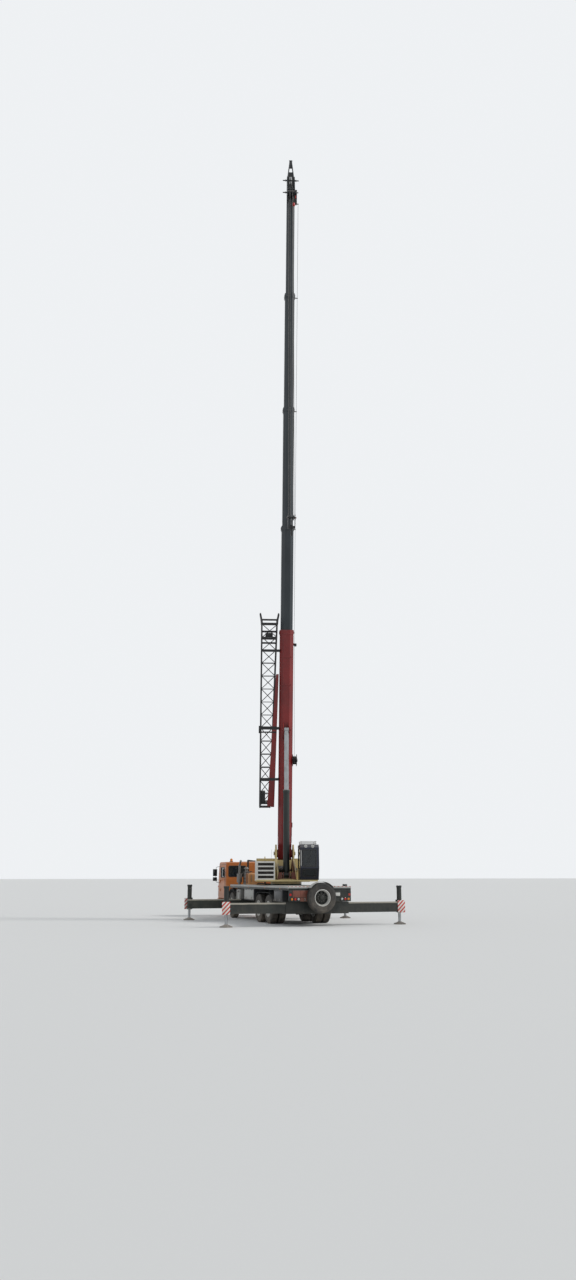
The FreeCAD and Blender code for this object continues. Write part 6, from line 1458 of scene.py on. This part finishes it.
operatorPlace = {"consoles": (0.605, 1.125), "pedals": (0.78, 0.92), "firmness": 0.7}
operatorCushions = [  # cushion: lowest corner, highest corner, bevel
    ("opSeatPad", (-0.12, 0.645, 2.02), (0.29, 1.115, 2.16), 0.035),
    ("opHeadPad", (-0.300, 0.77, 2.60), (-0.215, 0.99, 2.735), 0.03),
    ("opBackPad", (-0.27, 0.655, 2.14), (-0.15, 1.105, 2.60), 0.035)]


def makeOperatorPlace():
    pieces = [block("opSeatFoot", (-0.08, 0.70, 1.70), (0.26, 1.06, 1.76), "darkPlastic", upPlace),
              block("opSeatPost", (-0.02, 0.76, 1.74), (0.20, 1.00, 2.02), "darkPlastic", upPlace, 0.02)]
    for y in operatorPlace["consoles"]:
        pieces += [block("console", (-0.10, y - 0.035, 2.16), (0.26, y + 0.035, 2.26), "darkPlastic", upPlace, 0.012),
                   pipe("joystick", [(0.20, y, 2.25), (0.21, y, 2.36)], 0.008, "steel", upPlace),
                   drum("joystickGrip", (0.208, y, 2.34), (0.222, y, 2.44), 0.020, "darkPlastic", upPlace, 16, 0.006)]
    pieces += [block("display", (0.98, 0.66, 2.20), (1.02, 0.86, 2.36), "darkPlastic", upPlace, 0.010),
               pipe("displayStay", [(1.00, 0.76, 2.20), (1.02, 0.76, 2.05), (0.96, 0.76, 1.72)], 0.012,
                    "darkPlastic", upPlace, 0.05)]
    pieces += [block("opPedal", (0.70, y - 0.045, 1.72), (0.88, y + 0.045, 1.74), "darkPlastic", upPlace, 0.006)
               for y in operatorPlace["pedals"]]
    mount("operator_controls", pieces, bodyOf["operator_seat"])
    pads = [block(name, low, high, "seat", upPlace, bevel, 4) for name, low, high, bevel in operatorCushions]
    whole = mount("operator_seat_visual", pads, bodyOf["operator_seat"], 60)
    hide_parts("operator_seat")


def makeRestPads():
    pads = [block("restPad", (3.225, y - 0.10, 2.452), (3.335, y + 0.10, 2.500), "darkPlastic", bevel=0.010)
            for y in (-0.24, 0.24)]
    mount("boom_rest_pad", pads, "root")


makeTableFittings()
makeCounterweightSeams()
makeCoolerFittings()
makeOperatorCabOutside()
makeOperatorPlace()
makeRestPads()
print("superstructure fittings made")

# Boom: collar bolts and pads, lamp, sensor cable, head guards, limit weight, hook block and cylinder details
collars = [  # node, width and height of its tube, end of its collar along the boom
    ("boom_base", 0.570, 0.700, 9.62), ("boom_section_1", 0.514, 0.630, 14.2),
    ("boom_section_2", 0.462, 0.566, 19.5), ("boom_section_3", 0.416, 0.508, 24.68)]
boomMiddle, collarWall = 0.10, 0.016


def makeCollarFittings():
    levels = (boomMiddle - 0.06, boomMiddle + 0.14)
    for node, wide, high, tip in collars:
        half, low = wide / 2 + collarWall, boomMiddle - high / 2 - collarWall
        finish = "boom_red" if node == "boom_base" else "boom_slate"
        pieces = []
        for side in (-1, 1):
            near, far = sorted((side * (half - 0.002), side * (half + 0.014)))
            pieces += [block("padCover", (tip - 0.155, near, z - 0.05), (tip - 0.035, far, z + 0.05), finish,
                             boomPlace, 0.004) for z in levels]
            bolts = [(along, side * (half + 0.014), z + dz) for along in (tip - 0.135, tip - 0.055)
                     for z in levels for dz in (-0.032, 0.032)]
            pieces.append(boltRow("padBolts", bolts, (0, side, 0), 0.008, 0.007, boomPlace))
        bolts = [(along, y, low) for along in (tip - 0.15, tip - 0.04) for y in (-0.09, -0.03, 0.03, 0.09)]
        pieces.append(boltRow("bellyBolts", bolts, (0, 0, -1), 0.009, 0.008, boomPlace))
        mount(f"{node}_collar_fittings", pieces, bodyOf[node])


boomBase = {"lamp": (8.925, 0.383, 0.06), "lampRadius": 0.050, "seams": (1.2, 3.0, 7.2, 8.4), "strips": 0.299,
            "jibBoxWeb": [(2.02, -0.770), (7.66, -0.452), (7.66, -0.345), (2.02, -0.480)], "webDepth": -0.153,
            "webBolts": (2.12, 3.1, 4.1, 5.2, 6.3, 7.4)}


def makeBoomBaseFittings():
    backwards = boomPlace.to_3x3() @ Vector((-1, 0, 0))
    pieces = [block("lampBracket", (8.96, 0.283, 0.02), (9.06, 0.330, 0.12), "boom_red", boomPlace, 0.004),
              block("boomLampHouse", (8.93, 0.325, -0.02), (9.05, 0.440, 0.14), "darkPlastic", boomPlace, 0.014, 3),
              *lampUnit("boomLamp", boomPlace @ Vector(boomBase["lamp"]), backwards, boomBase["lampRadius"], 0.02,
                        "lensClear", "darkPlastic"),
              block("angleSensor", (1.10, 0.283, 0.05), (1.30, 0.335, 0.19), "darkPlastic", boomPlace, 0.008),
              pipe("sensorCable", [(1.12, 0.31, 0.12), (0.80, 0.305, 0.05), (0.45, 0.305, 0.02)], 0.007,
                   "darkPlastic", boomPlace, 0.06)]
    pieces += [block("bellySeam", (along, -0.20, -0.256), (along + 0.07, 0.20, -0.246), "boom_red", boomPlace, 0.004)
               for along in boomBase["seams"]]
    for y in (-boomBase["strips"], boomBase["strips"]):
        near, far = sorted((y, y * 0.95))
        pieces.append(block("sideStrip", (0.75, near, -0.09), (9.40, far, -0.06), "boom_red", boomPlace, 0.003))
    pieces.append(plate("jibBoxWeb", [boomBase["jibBoxWeb"]], 0.020, "boom_red",
                        boomPlace @ Matrix.Translation((0, 0, boomBase["webDepth"])), 0.003))
    pieces += [block("webEnd", (2.00, low, -0.172), (2.30, low + 0.020, -0.140), "boom_red", boomPlace, 0.004)
               for low in (-0.775, -0.500)]
    bolts = [(along, -0.62 + 0.030 * (along - 2.1), -0.163) for along in boomBase["webBolts"]]
    pieces.append(boltRow("webBolts", bolts, (0, 0, -1), 0.014, 0.012, boomPlace))
    mount("boom_base_fittings", pieces, "boom_base")


# Stowed jib: doubled rungs and horns at its tip, the middle clamp's bars and the pin box at its foot
jib = {"outer": -1.08, "belly": -0.11, "back": 0.33, "inner": -0.66, "taper": 0.24, "from": 1.95, "length": 7.95,
       "rungs": ((9.90, 0.034), (9.56, 0.027), (9.24, 0.022), (9.06, 0.027)),  # rungs: along, radius
       "tip": 9.9, "horn": 0.042, "clampBars": (5.19, 5.41)}


def jibInner(along):
    return jib["inner"] + jib["taper"] * (along - jib["from"]) / jib["length"]


def makeJibDetails():
    outer, chords, inner = jib["outer"], (jib["belly"], jib["back"]), jibInner(jib["tip"])
    pieces = [pipe("tipRung", [(along, outer, z), (along, jibInner(along), z)], radius, "jib_black", boomPlace)
              for along, radius in jib["rungs"] for z in chords]
    pieces.append(pipe("hornRung", [(10.07, outer - 0.012, 0.03), (10.07, inner + 0.012, 0.03)], 0.040, "jib_black",
                       boomPlace))
    eye = [(-0.035, 0.020), (-0.035, 0.052), (0.035, 0.052), (0.035, 0.020), (-0.035, 0.020)]
    for y, side in ((outer, -1), (inner, 1)):
        for z in chords:
            horn = [(9.86, y, z), (10.02, y + side * 0.010, z * 0.72 + 0.031), (10.31, y + side * 0.068, 0.11)]
            pieces.append(pipe("jibHorn", horn, jib["horn"], "jib_black", boomPlace, 0.12))
        across = boomPlace @ Matrix.Translation((10.30, y + side * 0.066, 0.11)) @ Matrix.Rotation(math.pi / 2, 4, "Z")
        pieces.append(lathe("hornEye", eye, "jib_black", across, 20))
    pieces += [block("tipPulleyBox", (9.30, -0.92, 0.00), (9.50, -0.60, 0.22), "jib_black", boomPlace, 0.02, 3),
               block("footPinBox", (2.14, -1.05, -0.06), (2.66, -0.86, 0.28), "jib_black", boomPlace, 0.02, 3),
               drum("footPin", (2.22, -1.10, 0.11), (2.22, -0.60, 0.11), 0.035, "steel", boomPlace, bevel=0.006)]
    pieces += [block("clampBar", (along - 0.030, -1.135, -0.180), (along + 0.030, -0.42, -0.138), "jib_black",
                     boomPlace, 0.006) for along in jib["clampBars"]]
    pieces.append(block("clampHead", (5.14, -1.170, -0.180), (5.46, -1.115, 0.02), "jib_black", boomPlace, 0.008))
    mount("jib_details", pieces, "boom_base")


# Sensor cable: it leaves the reel on the base section and runs through an eye on each section
cableSizes = {"radius": 0.006, "y": 0.345, "z": 0.22, "eyes": (9.525, 14.105, 19.405, 24.585, 28.95),
              "sectionHalf": (0.301, 0.273, 0.247, 0.224, 0.176), "reel": (3.98, 0.06), "reelTurns": 9,
              "turnRadius": 0.17, "coverRadius": 0.245, "spokes": 6}


def makeReelCable():
    y, z = cableSizes["y"], cableSizes["z"]
    reelX, reelZ = cableSizes["reel"]
    eye = [(-0.012, 0.014), (-0.016, 0.024), (0, 0.028), (0.016, 0.024), (0.012, 0.014), (0, 0.010), (-0.012, 0.014)]
    for name, along, edge in zip(boomNodes, cableSizes["eyes"], cableSizes["sectionHalf"]):
        arm = [block("cableArm", (along - 0.02, edge - 0.01, z - 0.012), (along + 0.02, y + 0.01, z + 0.012), "steel",
                     boomPlace, 0.003),
               lathe("cableEye", eye, "steel", boomPlace @ Matrix.Translation((along, y, z)), 20)]
        mount(f"{name}_cable_eye", arm, bodyOf[name])
    run = [(reelX, 0.400, reelZ + 0.20), (4.20, 0.398, 0.262), (9.0, 0.352, 0.226), (cableSizes["eyes"][0], y, z)]
    turns = [2 * math.pi * i / 20 for i in range(20 * cableSizes["reelTurns"])]
    radius = cableSizes["turnRadius"]
    coil = [(reelX + radius * math.sin(turn), 0.340 + 0.0022 * turn, reelZ + radius * math.cos(turn)) for turn in turns]
    cable = [pipe("reelCable", run, cableSizes["radius"], "darkPlastic", boomPlace, 0.05),
             pipe("reelTurns", coil, 0.0065, "darkPlastic", boomPlace, roundness=1)]
    mount("reel_cable", cable, "boom_base")
    cover = boomPlace @ Matrix.Translation((reelX, 0.488, reelZ)) @ Matrix.Rotation(math.pi / 2, 4, "X")
    loops = [circleLoop(cableSizes["coverRadius"], 40), circleLoop(cableSizes["coverRadius"] - 0.030, 40)]
    spokes = [plate("reelCover", loops, 0.006, "steel", cover, 0.001)]
    for turn in evenTurns(cableSizes["spokes"]):
        ends = [(reelX + out * math.cos(turn), 0.490, reelZ + out * math.sin(turn)) for out in (0.08, 0.24)]
        spokes.append(pipe("reelSpoke", ends, 0.008, "steel", boomPlace))
    mount("reel_spokes", spokes, bodyOf["cable_reel"])
    fixings = [boomPlace @ Vector((along, y, z)) for along in cableSizes["eyes"]]
    for i, (start, end) in enumerate(zip(fixings, fixings[1:])):
        span = drum(f"cable_span_{i + 1}", start, end, cableSizes["radius"], "darkPlastic", ground, 8)
        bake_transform(span)


head = {"axle": (29.245, -0.20), "upper": (30.0, 0.16), "cheek": 0.237, "keeper": 0.036, "jibPin": 0.022,
        "guards": ((29.475, -0.13), (29.195, -0.435)), "gussets": ((0.16, 0.38), (0.56, 0.93)),
        "frame": (30.06, 0, 0.22), "frameLean": (0.94, 0, 0.07), "frameHalf": 0.146, "frameTaper": 0.123}


def makeHead():
    (axleX, axleZ), (upperX, upperZ) = head["axle"], head["upper"]
    pieces = []
    for y in (-head["cheek"], head["cheek"]):
        pieces += pinKeeper("axleCap", axleX, y, axleZ, head["keeper"], boomPlace)
        pieces += pinKeeper("upperCap", upperX, y, upperZ, head["keeper"], boomPlace)
    pieces += [pipe("ropeGuard", [(along, -0.176, z), (along, 0.176, z)], 0.014, "steel", boomPlace)
               for along, z in head["guards"]]
    pieces += [block("headDiaphragm", (29.03, -0.166, 0.056), (29.80, 0.166, 0.070), "jib_black", boomPlace, 0.004),
               block("anchorBox", (28.78, 0.182, -0.145), (29.42, 0.272, 0.020), "jib_black", boomPlace, 0.015, 3),
               drum("upperJibPin", (upperX, -0.36, upperZ), (upperX, 0.36, upperZ), head["jibPin"], "jib_black",
                    boomPlace, bevel=0.004),
               drum("lowerJibPin", (axleX, -0.37, axleZ), (axleX, 0.33, axleZ), head["jibPin"], "jib_black",
                    boomPlace, bevel=0.004)]
    pieces += [block("headSpacer", (29.78, low, 0.088), (30.15, high, 0.102), "jib_black", boomPlace, 0.004)
               for low, high in ((-0.166, -0.045), (0.045, 0.166))]
    legs = boomPlace @ framePlace(Vector(head["frame"]), Vector(head["frameLean"]), left)
    for start, end in head["gussets"]:
        first, last = (head["frameHalf"] - head["frameTaper"] * along for along in (start, end))
        outline = [(start, -first), (end, -last), (end, last), (start, first)]
        pieces.append(plate("headGusset", [outline], 0.012, "jib_black", legs, 0.002))
    pieces += [block("headPlateSeam", (28.80, -0.150, 0.316), (29.00, 0.150, 0.326), "boom_slate", boomPlace, 0.003),
               block("limitSwitch", (29.02, 0.176, -0.16), (29.14, 0.235, -0.06), "signalRed", boomPlace, 0.006),
               lathe("windCupHub", [(-0.02, 0), (-0.02, 0.03), (0.05, 0.03), (0.05, 0)], "darkPlastic",
                     boomPlace @ Matrix.Translation((30.10, 0.10, 0.34)), 16)]
    mount("boom_head_fittings", pieces, bodyOf["boom_section_4"])


limitWeight = {"over": 0.072, "y": 0.118, "chainTop": -0.26, "linkPitch": 0.030, "link": 0.0035}


# The weight hangs on its chain just over the highest place that the hook block reaches
def makeLimitWeight():
    highestBlock = localBox("hook_block", hangPlace)[1].z + joints["hook_hoist"]["range_m"][1]
    weightAt, chainTop, y = highestBlock + limitWeight["over"], limitWeight["chainTop"], limitWeight["y"]
    hung = lathe("limitWeight", [(-0.06, 0.022), (-0.06, 0.055), (-0.05, 0.060), (0.05, 0.060), (0.06, 0.055),
                                 (0.06, 0.022), (-0.06, 0.022)], "signalRed", upright((0, y, weightAt), hangPlace), 24)
    link = pipe("chainLink", [(0.010, 0, 0.018), (0.010, 0, -0.018), (-0.010, 0, -0.018), (-0.010, 0, 0.018)],
                limitWeight["link"], "steel", bend=0.009, closed=True, roundness=1)
    pitch = limitWeight["linkPitch"]
    count = max(2, int((chainTop - weightAt - 0.06) / pitch) + 1)
    places = [Matrix.Translation((0.058, y, chainTop - pitch * i)) @ Matrix.Rotation(math.pi / 2 * (i % 2), 4, "Z")
              for i in range(count)]
    chain = copied(link, places)
    chain.data.transform(hangPlace)
    mount("limit_weight", [hung, chain], "falls")


hookBlock = {"pins": 0.177, "keeper": 0.032, "cheeks": 0.152,
             "cheekBolts": ((-0.11, 0.07), (0.11, 0.07), (-0.11, -0.12), (0.11, -0.12), (0, -0.24)),
             "bandHalf": 0.145, "bandHeights": (-0.075, -0.045)}


def makeHookDetails():
    low, high = localBox("hook_block", hangPlace)
    middle = (low.x + high.x) / 2
    axleZ = localBox("rope_falls", hangPlace)[0].z
    pieces = []
    for y in (-hookBlock["pins"], hookBlock["pins"]):
        pieces += pinKeeper("blockCap", middle, y, axleZ, hookBlock["keeper"], hangPlace)
    half, (bandLow, bandHigh) = hookBlock["bandHalf"], hookBlock["bandHeights"]
    for side in (-1, 1):
        y = side * hookBlock["cheeks"]
        bolts = [(middle + dx, y, axleZ + dz) for dx, dz in hookBlock["cheekBolts"]]
        pieces.append(boltRow("cheekBolts", bolts, (0, side, 0), 0.013, 0.012, hangPlace))
        near, far = min(y, y - side * 0.004), max(y, y + side * 0.004)
        pieces.append(block("cheekBand", (middle - half, near, axleZ + bandLow), (middle + half, far, axleZ + bandHigh),
                            "signalRed", hangPlace, 0.001))
    mount("hook_block_fittings", pieces, "hook")


cylinder = {"pipe": 0.013, "clips": (1.1, 2.0, 2.9), "glandCircle": 0.135, "glandBolts": 8}


def makeCylinderDetails():
    line = [(0.50, 0.05, 0.19), (0.62, 0.05, 0.19), (0.66, 0.05, 0.155), (3.20, 0.05, 0.155), (3.30, 0.05, 0.135)]
    pieces = [lathe("glandRing", [(3.448, 0.099), (3.448, 0.146), (3.468, 0.146), (3.476, 0.130), (3.476, 0.099)],
                    "steel", ramPlace, 36),
              boltCircle("glandBolts", 3.470, cylinder["glandCircle"], cylinder["glandBolts"], 0.011, 0.012, ramPlace),
              block("holdingValve", (0.30, -0.10, 0.125), (0.52, 0.10, 0.215), "steel", ramPlace, 0.010),
              pipe("cylinderPipe", line, cylinder["pipe"], "steel", ramPlace, 0.05)]
    pieces += [block("pipeClip", (along, 0.02, 0.125), (along + 0.03, 0.08, 0.172), "darkPlastic", ramPlace, 0.004)
               for along in cylinder["clips"]]
    mount("cylinder_fittings", pieces, bodyOf["lift_barrel"])


makeCollarFittings()
makeBoomBaseFittings()
makeJibDetails()
makeReelCable()
makeHead()
makeLimitWeight()
makeHookDetails()
makeCylinderDetails()
print("boom fittings made")
